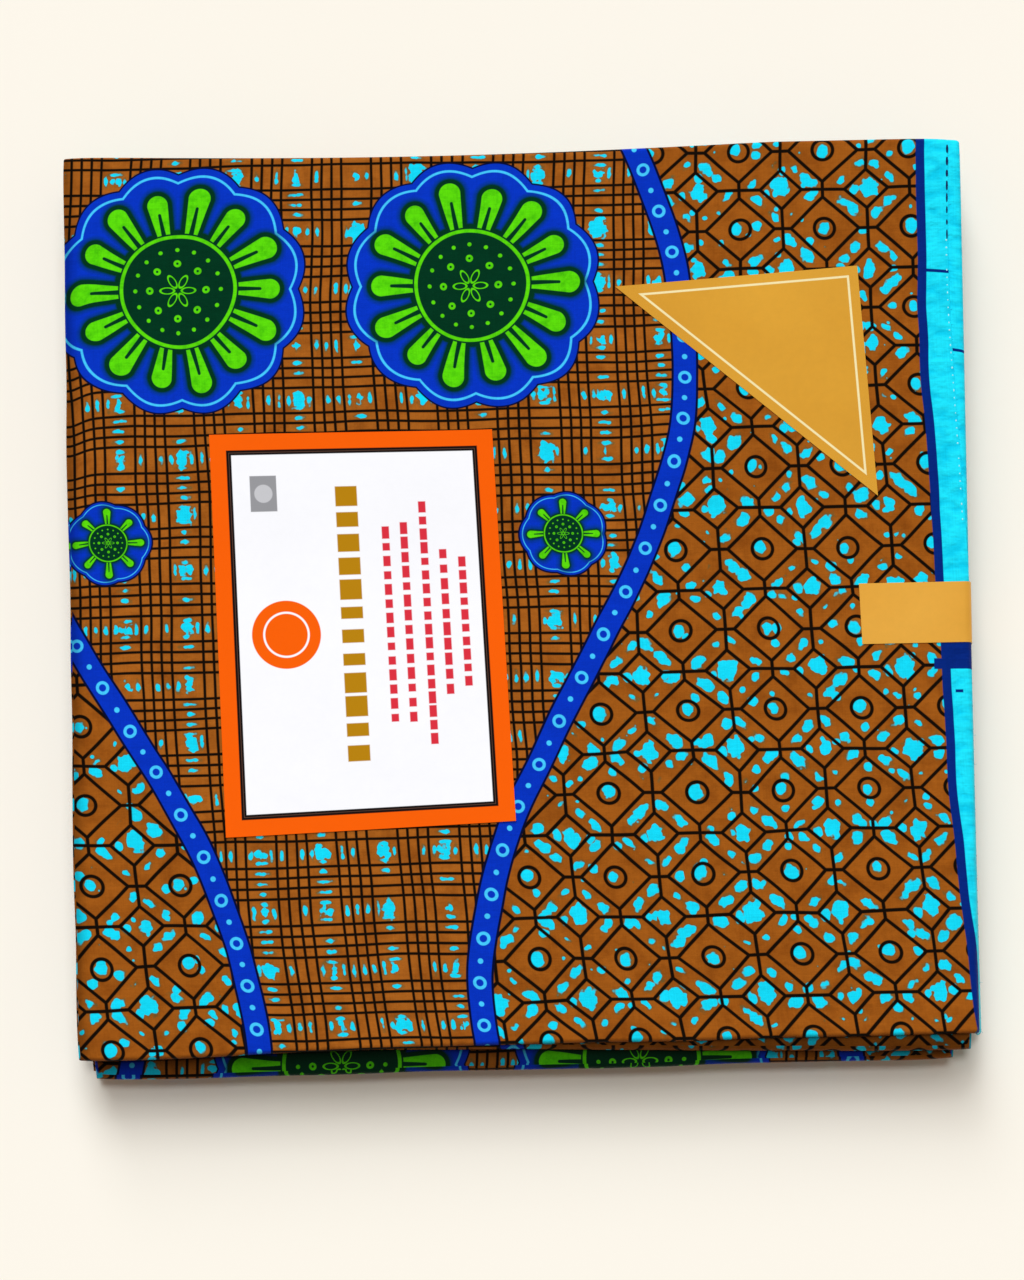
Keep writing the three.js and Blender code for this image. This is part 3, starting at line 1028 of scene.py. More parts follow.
@dataclass(frozen=True)
class PrintedCotton:
    """Wax-printed plain cotton with its whole print."""

    brown: str = "9E5716"
    brown_light: str = "A65E1C"
    brown_deep: str = "7A3C0A"
    dark_line: str = "120A05"
    wax: str = "12D9F6"
    wax_pale: str = "1CE2FA"
    wax_deep: str = "02C4E8"
    wax_rim: str = "2E5A34"
    band: str = "0432BC"
    band_edge: str = "040A30"
    band_mark: str = "44C8FA"
    surround: str = "0434C0"
    leaf: str = "5CDC0A"
    leaf_deep: str = "3CB408"
    field_green: str = "00341E"
    navy: str = "04267A"
    stray: float = 1.2
    net: NetMotif = NetMotif()
    check: CheckMotif = CheckMotif()
    ringed: BandMotif = BandMotif()
    selvedge: SelvedgeMotif = SelvedgeMotif()
    rosettes: tuple[RosetteMotif, ...] = (
        RosetteMotif(x=50.0, y=107.0, scale=0.99, petals=14, scallops=12),
        RosetteMotif(x=77.0, y=20.0, scale=0.33, petals=8, scallops=7),
    )

    def material(self) -> Material:
        """Build the cloth's material."""
        p = Surface("wax_cotton")
        place = p.map_place()
        cloth = self._strayed(p, place)
        ringed = SHELF.place(p, "print band", self.ringed.build, Cloth=cloth)
        colour = self._ground(p, place, cloth, p.inside(ringed["Within"]))
        colour = p.paint(
            colour,
            (p.inside(ringed["Edge"]), self.band_edge),
            (p.inside(ringed["Fill"]), self.band),
            (p.inside(ringed["Mark"]), self.band_mark),
        )
        for motif in self.rosettes:
            colour = self._rosette(p, motif, cloth, colour)
        edge = SHELF.place(p, "print selvedge", self.selvedge.build, Cloth=cloth)
        u, v, _ = p.split(place)
        ripple = p.noise(p.pair(u * 0.14, v * 0.24), 1.0, 2.5)
        # painted shade: the plain selvedge band turns a deeper turquoise in the troughs of its
        # ripples, where the bump sinks
        deep = p.ramp(ripple, 4.0, -1.7) * 0.75
        plain = p.paint(linear(self.wax_pale), (deep, self.wax_deep))
        colour = p.paint(colour, (p.inside(edge["Line"]), self.navy))
        colour = p.blend(p.inside(edge["Plain"]), colour, plain)
        colour = p.paint(colour, (p.inside(edge["Notch"]), self.navy))
        weave = SHELF.place(p, "weave", weave_group, Cloth=place)
        # painted shade: the colour is multiplied by each point's painted fold shade
        fold = p.node("ShaderNodeAttribute", attribute_name=FOLD_SHADE)
        cloud = p.mottle(place, 0.2, colour, weave["Shade"] * Wire(p, fold.outputs["Fac"]))
        crinkle = p.noise(place, 0.10, 4.0, 0.62) * 3.0
        ripple = ripple * p.inside(edge["Plain"], 3.0) * 4.0
        p.bump(weave["Height"] * 0.08 + crinkle - ripple, 0.4, 0.6)
        return p.finish({"Roughness": cloud * 0.25 + 0.5, "Specular IOR Level": 0.08})

    def _strayed(self, p: NodePlan, place: Plug) -> Plug:
        """The place with a slow stray of up to stray millimetres, so that no line is quite true."""
        joins = {"Vector": place, "Scale": 0.022, "Detail": 1.5}
        wander = p.node("ShaderNodeTexNoise", joins, noise_dimensions="2D")
        gain, start = (2 * self.stray, 2 * self.stray, 0.0), (-self.stray, -self.stray, 0.0)
        centred = p.vector("MULTIPLY_ADD", {0: wander.outputs["Color"], 1: gain, 2: start})
        return p.vector("ADD", {0: place, 1: centred})

    def _ground(self, p: NodePlan, place: Plug, cloth: Plug, within: Wire) -> Plug:
        """Stained brown with its spots and lines: the check within the bands, the net outside.

        Args:
            p: the material's plan.
            place: the true place on the flat cloth.
            cloth: the place that the print follows.
            within: 1 between the two bands.

        Returns:
            The colour.
        """
        net = SHELF.place(p, "print net", self.net.build, Cloth=cloth)
        check = SHELF.place(p, "print check", self.check.build, Cloth=cloth)
        spot, line = (p.choose(within, net[key], check[key]) for key in ("Spot", "Line"))
        stain = p.ramp(p.noise(place, 0.11, 4.0, 0.62), 3.2, -1.35) * 0.6
        return p.paint(
            linear(self.brown),
            (within, self.brown_light),
            (stain, self.brown_deep),
            (p.inside(spot - 0.35, 0.5) * 0.55, self.wax_rim),
            (p.inside(spot, 0.3), self.wax),
            (p.inside(line, 0.3), self.dark_line),
        )

    def _rosette(self, p: NodePlan, motif: RosetteMotif, cloth: Plug, colour: Plug) -> Plug:
        """Lay one rosette over a colour.

        Args:
            p: the material's plan.
            motif: the rosette.
            cloth: the place that the print follows.
            colour: what lies under it.

        Returns:
            The colour with the rosette on it.
        """
        flower = SHELF.place(p, f"print rosette {motif.petals}", motif.build, Cloth=cloth)
        surround = p.inside(flower["Surround"])
        colour = p.paint(
            colour,
            (p.inside(flower["Surround"] - 0.6), self.band_edge),
            (surround, self.surround),
            (p.inside(flower["Trim"]) * surround, self.band_mark),
            (p.inside(flower["Field"] - 0.9, 1.6) * 0.6, self.field_green),
            (p.inside(flower["Field"], 0.6), self.field_green),
        )
        streaks = p.ramp(p.noise(cloth, 0.34, 3.0, 0.6), 3.0, -1.3) * 0.7
        leaf = p.paint(linear(self.leaf), (streaks, self.leaf_deep))
        return p.blend(p.inside(flower["Bright"]), colour, leaf)


@dataclass(frozen=True)
class MarkRow:
    """A row of plain blocks on the label, each of one run less a gap, in millimetres."""

    x: float
    y: float
    half: float
    reach: float
    run: float
    gap: float
    hue: str = "DC3040"


@dataclass(frozen=True)
class LabelPaper:
    """White coated paper with an orange border, a dark double frame and plain marks."""

    white: str = "FBFBFF"
    orange: str = "F96003"
    frame: str = "140C0C"
    frame_gap: str = "6A4A3C"
    grey: str = "98989C"
    grey_pale: str = "C8C8CC"
    disc_at: Pair = (23.2, 67.3)
    disc: float = 11.6
    disc_ring: float = 7.5
    block_at: Pair = (17.6, 115.5)
    block: Pair = (4.5, 6.1)
    rows: tuple[MarkRow, ...] = (
        MarkRow(45.6, 70.0, 3.7, 48.0, 8.0, 1.6, "B8820C"),
        MarkRow(58.3, 69.3, 1.25, 34.3, 4.9, 0.9),
        MarkRow(64.5, 70.0, 1.25, 35.0, 5.0, 0.9),
        MarkRow(71.1, 69.7, 1.25, 42.3, 4.7, 0.9),
        MarkRow(77.3, 69.9, 1.25, 26.0, 5.2, 0.9),
        MarkRow(83.6, 69.7, 1.25, 23.0, 4.6, 0.9),
    )

    def material(self) -> Material:
        """Build the label's material; its own map holds the label's width and height."""
        p = Surface("label_paper")
        place = p.map_place()
        u, v, _ = p.split(place)
        edge = p.least(u, PaperLabel.width - u, v, PaperLabel.height - v)
        disc = p.length(u - self.disc_at[0], v - self.disc_at[1])
        x, y = u - self.block_at[0], v - self.block_at[1]
        block = p.most(abs(x) - self.block[0], abs(y) - self.block[1])
        colour = p.paint(
            linear(self.orange),
            (p.inside(5.5 - edge), self.frame),
            (p.inside(6.3 - edge, 0.12), self.frame_gap),
            (p.inside(6.45 - edge, 0.12), self.frame),
            (p.inside(7.2 - edge), self.white),
            (p.inside(disc - self.disc), self.orange),
            (p.inside(abs(disc - self.disc_ring) - 0.35), self.white),
            *((self._row(p, u, v, row), row.hue) for row in self.rows),
            (p.inside(block), self.grey),
            (p.inside(p.length(x, y) - 3.1), self.grey_pale),
        )
        cloud = p.mottle(place, 0.05, colour)
        fibre = p.noise(place, 1.6, 3.0, 0.6) * 0.25
        p.bump(fibre + p.noise(place, 0.05, 2.0) * 3.0, 0.12, 0.4)
        return p.finish({"Roughness": cloud * 0.2 + 0.38, "Specular IOR Level": 0.14})

    @staticmethod
    def _row(p: NodePlan, u: Wire, v: Wire, row: MarkRow) -> Wire:
        """Where the blocks of one row lie.

        Args:
            p: the material's plan.
            u: the place across the label.
            v: the place along it.
            row: the row.

        Returns:
            A mask, 1 on the blocks.
        """
        along = v - row.y
        place = along / row.run
        cell = p.math("FLOOR", place)
        draw, _, _ = p.chance(cell, cell * 0.0 + row.half * 37.0, row.reach)
        within = (abs(place - cell - 0.5) - 0.5) * row.run + draw * row.gap + row.gap * 0.3
        block = p.most(abs(u - row.x) - row.half, abs(along) - row.reach, within)
        return p.inside(block, 0.3)


@dataclass(frozen=True)
class GoldPaper:
    """Gold paper, half gloss, with a thin pale line in from the edge where asked."""

    name: str
    gold: str = "F0B440"
    gold_deep: str = "D2922A"
    line: str = "FFF0B8"
    corners: tuple[Pair, ...] = ()
    inset: float = 3.5
    line_width: float = 0.75

    def material(self) -> Material:
        """Build the paper's material; its own map holds plan places."""
        p = Surface(self.name)
        body = p.body_place()
        # painted sheen: broad soft patches of lighter and deeper gold stand in for the paper's
        # changing reflection
        sheen_patches = p.noise(body, 0.02, flat=False)
        colour = p.paint(linear(self.gold), (sheen_patches, self.gold_deep))
        if self.corners:
            x, y, _ = p.split(p.map_place())
            ways = zip(self.corners, self.corners[1:] + self.corners[:1])
            inward = p.least(*(self._from_edge(x, y, a, b) for a, b in ways))
            line = p.inside(abs(inward - self.inset) - self.line_width / 2, 0.2)
            colour = p.paint(colour, (line, self.line))
        cloud = p.mottle(body, 0.12, colour)
        p.bump(p.noise(body, 1.4, 3.0, 0.6, flat=False), 0.05, 0.4)
        return p.finish({
            "Roughness": cloud * 0.3 + 0.36, "Metallic": 0.15, "Specular IOR Level": 0.2})

    @staticmethod
    def _from_edge(x: Wire, y: Wire, a: Pair, b: Pair) -> Wire:
        """Distance in from the edge that runs clockwise from a to b."""
        length = math.dist(a, b)
        way_x, way_y = (b[0] - a[0]) / length, (b[1] - a[1]) / length
        return (x - a[0]) * way_y - (y - a[1]) * way_x


@dataclass(frozen=True)
class PlainThread:
    """A loose thread or a stitch of one dyed colour."""

    name: str
    colour: str

    def material(self) -> Material:
        """Build the thread's material."""
        p = Surface(self.name)
        p.mottle(p.body_place(), 0.3, linear(self.colour))
        return p.finish({"Roughness": 0.8})


@dataclass(frozen=True)
class FloorFinish:
    """Plain pale cream paper."""

    colour: str = "FCF6EA"

    def material(self) -> Material:
        """Build the floor's material."""
        return Surface("floor_paper").finish({
            "Base Color": linear(self.colour), "Roughness": 0.9, "Specular IOR Level": 0.1})


# ---- The cloth ----


def finish_piece(obj: Piece, material: Material, slot: str, *nodes: str) -> None:
    """Dress a piece, let it ride on the body and hide the solids that it stands for."""
    obj.data.materials.clear()
    obj.data.materials.append(material)
    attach(obj, BODY)
    if nodes:
        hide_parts(*nodes)
    LOG.info("built %s: %d faces", obj.name, len(obj.data.polygons))


class Ply(Enum):
    """The runs and turns of the panel's path, from the top selvedge to the second one.

    Each value says how a place across the panel becomes one on the flat cloth: what that
    place counts for, where the ply starts, and how much it grows over its length.
    """

    TOP = (1.0, 0.0, 0.0)
    LEFT_TURN = (0.0, -150.0, -1.7)
    LOWEST = (-1.0, -301.7, 0.0)
    RIGHT_TURN = (0.0, -452.5, -0.6)
    THIRD = (1.0, -600.0, 0.0)
    INNER_TURN = (0.0, -750.0, -0.6)
    SECOND = (-1.0, -896.0, 0.0)


@dataclass(frozen=True)
class Column:
    """One column of the panel's sheet, in millimetres.

    It lies a share of the way from a left to a right edge and an offset further, at a lift
    above the upper face, and at a place of 0 to 1 along its ply.
    """

    left: str
    right: str
    share: float
    offset: float
    lift: float
    ply: Ply
    place: float


@dataclass
class TopPanel:
    """The top panel: one width of the cloth folded in four, its selvedge hanging at the right."""

    pile: Pile
    thickness: float = 0.31
    width: float = 310.0
    second_width: float = 305.0
    second_front_x: float = 151.4
    second_back_x: float = 154.2
    second_slip: float = 27.6
    left_in: float = 1.95
    inner_in: float = 0.9
    turn_depth: float = 4.15
    turn_angle: float = math.radians(84)
    back_rise: float = 0.6
    front_bow: float = 1.3
    # painted shade: how much darker the colour is painted at the front turn, on the hidden plies
    # and by the left fold, and how far from that fold the shade reaches
    front_shade: float = 0.55
    under_shade: float = 0.7
    left_shade: float = 0.45
    left_shade_reach: float = 2.4
    left_drag: tuple[float, float, float, float] = (2.8, 5.5, 72.0, 48.0)
    fold_back: float = 2.6
    near_left: tuple[float, ...] = (0, 0.8, 2.0, 4.0)
    near_right: tuple[float, ...] = (
        0, 0.4, 1.0, 1.8, 2.6, 3.4, 4.2, 5.0, 5.8, 6.6, 7.4, 8.2, 9.0, 9.8, 10.6, 11.4, 12.4, 14.0)
    top_columns: int = 150
    second_columns: int = 46
    lowest_columns: int = 30
    third_columns: int = 20
    rows: int = 116
    arc_steps: int = 7

    def build(self, material: Material) -> Piece:
        """Build the panel as one sheet that runs through its four plies.

        Args:
            material: what it is dressed in.

        Returns:
            The piece.
        """
        columns = self._section()
        shares, turn, side = self._rows()
        grid, cloth = self._grid(columns, shares, turn, side)
        bakes = self._bakes(self._on(columns, Ply.TOP), len(shares))
        obj = shell("top_panel_cloth", grid, cloth, bakes, self.thickness * MM)
        # painted shade: the colour darkens at the front end, where the panel turns down
        front = 1.0 - self.front_shade * np.sin(turn) ** 2 * (side < 0)
        shade = front[:, None] * self._shade(columns)[None, :]
        keep_shade(obj, np.tile(shade, (2, 1)))
        finish_piece(obj, material, "wax_cotton", "top_panel")
        return obj

    def _section(self) -> list[Column]:
        """The path across the panel, from the top selvedge to the second one."""
        ply = self.pile.ply

        def run(left: str, right: str, shares: Array, depth: float, kind: Ply) -> list[Column]:
            """A level ply, so many plies deep."""
            return [Column(left, right, t, 0.0, -depth * ply, kind, t) for t in shares]

        def turn(edge: str, radius: float, depth: float, kind: Ply, steps: int) -> list[Column]:
            """A rounded fold at an edge; a radius below zero turns upward."""
            share, way = (1.0, 1) if edge == "fold" else (0.0, -1)
            made = []
            for k in range(1, steps):
                angle = math.pi * k / steps
                offset = way * abs(radius) * ply * math.sin(angle)
                lift = (radius * math.cos(angle) - depth) * ply
                made.append(Column(edge, edge, share, offset, lift, kind, k / steps))
            return made

        near, far = self.near_left, self.near_right
        top = close_steps(self.width, near, far, self.top_columns) / self.width
        second = close_steps(self.second_width, near, far, self.second_columns)
        return [
            *run("left", "selvedge", top[::-1], 0.5, Ply.TOP),
            *turn("left", 1.5, 2.0, Ply.LEFT_TURN, 9),
            *run("left", "fold", np.linspace(0, 1, self.lowest_columns), 3.5, Ply.LOWEST),
            *turn("fold", -0.5, 3.0, Ply.RIGHT_TURN, 5),
            *run("inner", "fold", np.linspace(1, 0, self.third_columns), 2.5, Ply.THIRD),
            *turn("inner", -0.5, 2.0, Ply.INNER_TURN, 5),
            *run("inner", "second", second / self.second_width, 1.5, Ply.SECOND),
        ]

    def _rows(self) -> tuple[Array, Array, Array]:
        """Shares from front to back, the turn down at each row in radians and its side."""
        turns = np.linspace(self.turn_angle, 0, self.arc_steps + 1)[:-1]
        inner = np.linspace(0, 1, self.rows)
        shares = np.concatenate([np.zeros(len(turns)), inner, np.ones(len(turns))])
        turn = np.concatenate([turns, np.zeros(len(inner)), turns[::-1]])
        side = np.concatenate([-np.ones(len(turns)), np.zeros(len(inner)), np.ones(len(turns))])
        return shares, turn, side

    def _grid(self, columns: list[Column], shares: Array, turn: Array,
              side: Array) -> tuple[Array, Array]:
        """Lay the sheet out.

        Args:
            columns: its columns.
            shares: how far back each row lies, 0 to 1.
            turn: the turn down of each row, in radians.
            side: -1 for a row at the front end, 1 at the back end and 0 between.

        Returns:
            The points of the sheet in metres and their places on the flat cloth.
        """
        pile = self.pile
        base = self.turn_depth * pile.ply
        lifts = np.array([c.lift for c in columns])
        share_x = np.array([c.share for c in columns])
        front, back = self._front_and_back(share_x)
        y_flat = mix((front + base)[None, :], (back - base)[None, :], shares[:, None])
        turn, side = turn[:, None], side[:, None]
        radius = lifts + base
        y = y_flat + side * radius * np.sin(turn)
        lift = np.where(turn > 0, -base + radius * np.cos(turn), lifts)
        edges = self._edges(y_flat)
        s = np.stack([
            mix(edges[c.left][:, k], edges[c.right][:, k], c.share) + c.offset
            for k, c in enumerate(columns)], axis=1)
        slope, start, growth = np.array([c.ply.value for c in columns]).T
        skew = pile.selvedge_x(y_flat) - pile.selvedge_mean
        u = slope * (s - skew) + start + growth * np.array([c.place for c in columns])
        v = y_flat + side * np.maximum(radius, 0) * turn
        v = v + self.second_slip * share_x * self._on(columns, Ply.SECOND)
        drag, reach, middle, spread = self.left_drag
        by_edge = self._near_left(columns, reach)
        v = v + drag * by_edge * np.exp(-(((y_flat - middle) / spread) ** 2))
        hidden = pile.over_side(s, y, lift - pile.sag(s, y), creased=False)
        outer = self._on(columns, Ply.TOP)[None, :, None]
        grid = np.where(outer, pile.over_side(s, y, lift), hidden)
        return grid, np.stack([u, v], axis=-1) * MM

    def _front_and_back(self, share_x: Array) -> tuple[Array, Array]:
        """Front and back ends of the panel.

        Args:
            share_x: shares of its width.

        Returns:
            Where it ends at the front and at the back.
        """
        pile = self.pile
        pull = corner_pull(share_x, pile.corner)
        bow = Wander(7, 160, 0.7)(share_x * 300) + self.front_bow * np.sin(math.pi * share_x)
        front = mix(pile.front_left_y, pile.front_right_y, share_x) + pull + bow
        dip = pile.back_dip * np.sin(math.pi * np.minimum(share_x / 0.8, 1))
        return front, pile.back_y + self.back_rise - dip - pull

    def _edges(self, y: Array) -> dict[str, Array]:
        """The lines that the plies end or turn at.

        Args:
            y: distances away from the middle.

        Returns:
            For each line's name, where it lies across.
        """
        pile = self.pile
        depth = pile.depth_at(y)
        pull = corner_pull(np.clip(depth, 0, 1), pile.corner)
        left = pile.left_x(y) + self.left_in * pile.ply + Wander(3, 130, 0.6)(y) + pull
        return {
            "left": left,
            "inner": left + self.inner_in,
            "selvedge": pile.selvedge_x(y) - pull,
            "second": mix(self.second_front_x, self.second_back_x, depth) - pull,
            "fold": pile.side_x(y) - self.fold_back - pull,
        }

    @staticmethod
    def _on(columns: list[Column], ply: Ply) -> Array:
        """Which columns lie on a ply."""
        return np.array([c.ply is ply for c in columns])

    def _near_left(self, columns: list[Column], reach: float) -> Array:
        """How near each column lies to the left fold, 1 on it and less over reach millimetres."""
        spans = {Ply.LEFT_TURN: 0.0, Ply.TOP: self.width, Ply.LOWEST: self.width}
        away = [c.place * spans[c.ply] if c.ply in spans else math.inf for c in columns]
        return np.exp(-((np.array(away) / reach) ** 2))

    def _shade(self, columns: list[Column]) -> Array:
        """How bright each column's colour is painted, as painted shade: least on the hidden plies,
        less by the left fold.
        """
        edge = 1.0 - self.left_shade * self._near_left(columns, self.left_shade_reach)
        under = np.where(self._on(columns, Ply.SECOND), 1.0, self.under_shade)
        return np.where(self._on(columns, Ply.TOP), edge, under)

    @staticmethod
    def _bakes(top: Array, rows: int) -> tuple[Array, Array]:
        """Bake maps of the two faces: nearly all of the square goes to the top ply's upper face."""
        depth = np.linspace(0, 1, rows)[:, None]
        along = np.linspace(0, 1, len(top))[None, :]
        x = np.where(top, 1 - np.cumsum(top) / top.sum(), along)
        y = np.where(top, 0.12 + 0.88 * depth, 0.05 * depth)
        upper = np.stack(np.broadcast_arrays(x, y), -1)
        return upper, np.stack(np.broadcast_arrays(along, 0.06 + 0.05 * depth), -1)


class Side(Enum):
    """The four sides of a folded block."""

    FRONT = 0
    RIGHT = 1
    BACK = 2
    LEFT = 3


def fall_back(share: float, reach: float) -> float:
    """How far a rounded fold falls back from its crest, at a share of its height."""
    return reach * (1 - math.sqrt(max(1 - (2 * share - 1) ** 2, 0.0)))


@dataclass
class FoldedBlock:
    """Panels of the folded cloth as one closed body, layered at its four sides."""

    pile: Pile
    name: str
    node: str
    panels: int
    low_z: float
    high_z: float | None
    front_left_y: float
    front_right_y: float
    back_y: float
    left_front_x: float
    left_back_x: float
    inset: float
    flare: float
    print_place: Pair
    seed: int
    flat: Pair
    rests_on: tuple[str, ...]
    stand: float = 1.0
    right_in: float = 0.0
    # painted shade: how bright the colour is painted on the crests of the folds and in the joints
    # between them
    crest: float = 0.62
    joint: float = 0.3
    points_a_side: int = 84
    rings: int = 16
    near_corner: tuple[float, ...] = (0, 0.01, 0.02, 0.035, 0.055, 0.08, 0.12)
    caps: tuple[float, ...] = (0.985, 0.96, 0.9, 0.75, 0.4)
    fold_round: float = 0.72
    loop_round: float = 1.4
    ply_round: float = 0.36
    ply_groove: float = 0.32
    repeat: float = 0.46

    def build(self, material: Material) -> Piece:
        """Args:
            material: what it is dressed in.

        Returns:
            The piece.
        """
        ring, sides = self._ring()
        levels = self._levels()
        rows = [self._level_points(ring, panel, share) for panel, share in levels]
        upper = [self._cap_points(rows[-1], share) for share in self.caps]
        ends = [upper[-1].mean(axis=0), rows[0].mean(axis=0)]
        points = np.concatenate([*rows, *upper, ends])
        faces, uvs, bakes = self._sides(sides, levels, len(rows) + len(upper), points)
        for face in self._end_faces(len(ring), len(points)):
            faces.append(face)
            uvs += [self._cap_place(points[corner]) for corner in face]
            bakes += [self._cap_bake(points[corner]) for corner in face]
        maps = {CLOTH_UV: np.asarray(uvs), BAKE_UV: np.asarray(bakes)}
        obj = make_object(self.name, points, faces, maps)
        keep_shade(obj, self._shade(sides, levels))
        finish_piece(obj, material, "wax_cotton", self.node)
        return obj

    def _ring(self) -> tuple[Array, Array]:
        """Plan points round the block as fractions of its half sides, and the side of each."""
        near = self.near_corner
        along = close_steps(2.0, near, near, self.points_a_side - 2 * len(near) + 2)[:-1] - 1
        ring = [(t, -1.0) for t in along] + [(1.0, t) for t in along]
        ring += [(-t, 1.0) for t in along] + [(-1.0, -t) for t in along]
        return np.asarray(ring), np.repeat([s.value for s in Side], len(along))

    def _levels(self) -> list[tuple[int, float]]:
        """Panel number and share of its height, for each ring from the bottom to the top."""
        levels = [(p, j / self.rings) for p in range(self.panels) for j in range(self.rings)]
        return [*levels, (self.panels - 1, 1.0)]

    def _level_points(self, ring: Array, panel: int, share: float) -> Array:
        """Points of one ring.

        Args:
            ring: plan points as fractions of the half sides.
            panel: the panel's number.
            share: how far up the panel the ring lies, 0 to 1.

        Returns:
            The points in metres.
        """
        a, b = ring[:, 0], ring[:, 1]
        width, depth = (a + 1) / 2, (b + 1) / 2
        in_x, in_y = (corner_pull(t, self.pile.corner) for t in (depth, width))
        y_plan = mix(self.front_left_y, self.back_y, depth)
        left = mix(self.left_front_x, self.left_back_x, depth) + in_x
        left = left + self._stand_out(panel, Side.LEFT, y_plan) + fall_back(share, self.fold_round)
        right = self.pile.under_side_x(y_plan, self.flare) - self.inset - in_x
        right = right - self._ply_inset(panel, share, y_plan)
        right = right - self.right_in * (1 - soft_step(0.0, 0.3, depth))
        front = mix(self.front_left_y, self.front_right_y, width) + in_y
        front = front + self._loop_inset(panel, share, a, Side.FRONT)
        back = self.back_y - in_y - self._loop_inset(panel, share, a, Side.BACK)
        x = np.where(a < 0, left * -a, right * a)
        y = np.where(b < 0, front * -b, back * b)
        if self.high_z is None and panel == self.panels - 1 and share == 1.0:
            return self.pile.place(x, y, self._cover(x, y))
        z = mix(self._joint_z(panel, a, b), self._joint_z(panel + 1, a, b), share)
        return self.pile.place(x, y, z)

    def _shade(self, sides: Array, levels: list[tuple[int, float]]) -> Array:
        """How bright each point's colour is painted, as painted shade: most on the crests of the
        folds, least in the joints.

        Args:
            sides: the side of each point of a ring.
            levels: panel and share of each ring.

        Returns:
            A value for each point, in the order of the mesh.
        """
        rows = [np.full(len(sides), self.crest)]
        for panel, share in levels[1:]:
            front, back = (self._loop(panel, share, side)[1] for side in (Side.FRONT, Side.BACK))
            places = (front, (share * 2) % 1.0, back, share)
            swell = np.array([math.sin(math.pi * t) for t in places])
            rows.append(mix(self.joint, self.crest, swell)[sides])
        rows += [np.full(len(sides), self.joint)] * len(self.caps)
        return np.concatenate([*rows, [self.joint, self.crest]])

    def _cover(self, x: Array, y: Array) -> Array:
        """Height of the upper face at plan points."""
        if self.high_z is not None:
            return np.full(np.shape(x), self.high_z)
        under = self.pile.height(x, y, creased=False) - self.pile.sag(x, y)
        return under - self.pile.panel_height - self.pile.gap

    def _joint_z(self, joint: int, a: Array, b: Array) -> Array:
        """Height of the joint under a panel round the block.

        Args:
            joint: the joint's number from the bottom.
            a: places across, -1 to 1.
            b: places away, -1 to 1.

        Returns:
            Heights in millimetres.
        """
        x = np.where(a < 0, -self.left_front_x * a, 149.0 * a)
        y = np.where(b < 0, -self.front_left_y * b, self.back_y * b)
        z = mix(self.low_z, self._cover(x, y), joint / self.panels)
        if 0 < joint < self.panels:
            wave = Wander(self.seed * 31 + joint, 2.6, 0.42)
            z = z + wave(np.arctan2(b, a)) + Wander(self.seed * 57 + joint, 90, 0.14)(x + y)
        return z

    def _stand_out(self, number: int, side: Side, along: Array) -> Array:
        """How far one fold or loop stands back, uneven along its edge.

        Args:
            number: what sets its draws apart from those of the others.
            side: the side that it is on.
            along: places along the edge.

        Returns:
            The distances, none below zero.
        """
        draw = random.Random(self.seed * 101 + number * 7 + side.value)
        back = draw.uniform(0.0, 1.9) * self.stand
        lean = draw.uniform(-0.9, 0.9) * self.stand
        wave = Wander(self.seed * 13 + number * 5 + side.value, 150, 0.5)
        return np.maximum(back + lean * along / 150 + wave(along), 0.0)

    @staticmethod
    def _loop(panel: int, share: float, side: Side) -> tuple[int, float]:
        """Which loop joins two panels at the front or the back, and the share of its height."""
        half = panel + (side is Side.BACK)
        return half // 2, (half % 2 + share) / 2

    def _loop_inset(self, panel: int, share: float, a: Array, side: Side) -> Array:
        """Inset of the loop that joins two panels at the front or the back."""
        loop, within = self._loop(panel, share, side)
        return self._stand_out(40 + loop, side, a * 150) + fall_back(within, self.loop_round)

    @staticmethod
    def _ply(panel: int, place: float) -> tuple[int, int]:
        """Number of the ply at a place of 0 to 4 up a panel, and its number in the fold."""
        ply = min(int(place), 3)
        return ply, ply if panel % 2 else 3 - ply

    def _ply_inset(self, panel: int, share: float, along: Array) -> Array:
        """Inset of the ply edges at the right: two cut selvedges and a fold in each panel.

        Args:
            panel: the panel's number.
            share: how far up the panel, 0 to 1.
            along: places along the edge.

        Returns:
            The distances inward.
        """
        place = share * 4
        ply, order = self._ply(panel, place)
        if order >= 2:
            fold = place / 2 - (ply >= 2)
            out = self._stand_out(80 + panel, Side.RIGHT, along) + 0.5
            return out + fall_back(min(max(fold, 0), 1), self.ply_round)
        groove = self.ply_groove if place - ply in (0.0, 1.0) else 0.0
        return self._stand_out(120 + panel * 4 + order, Side.RIGHT, along) + groove

    def _cap_points(self, rim: Array, share: float) -> Array:
        """A ring of the upper face, drawn in from its rim."""
        x = rim[:, 0] / MM * share + self.pile.middle_x
        y = rim[:, 1] / MM * share + self.pile.middle_y
        return self.pile.place(x, y, self._cover(x, y))

    def _sides(self, sides: Array, levels: list[tuple[int, float]], total: int,
               points: Array) -> tuple[list[list[int]], list, list]:
        """Faces between the rings.

        Args:
            sides: the side of each point of a ring.
            levels: panel and share of each ring of the sides.
            total: how many rings there are with those of the upper face.
            points: all points.

        Returns:
            The faces and, for each corner, its pairs for the cloth map and the bake map.
        """
        count, top = len(sides), len(levels) - 1
        faces: list[list[int]] = []
        uvs: list[Pair] = []
        bakes: list[Pair] = []
        for k in range(total - 1):
            for i, number in enumerate(sides):
                side, j = Side(int(number)), (i + 1) % count
                face = [k * count + i, k * count + j, (k + 1) * count + j, (k + 1) * count + i]
                faces.append(face)
                for corner, level in zip(face, (k, k, k + 1, k + 1)):
                    point = points[corner]
                    if k < top:
                        uvs.append(self._side_place(side, levels[k][0], level, point))
                        bakes.append(self._side_bake(side, level / top, point))
                    else:
                        uvs.append(self._cap_place(point))
                        bakes.append(self._cap_bake(point))
        return faces, uvs, bakes

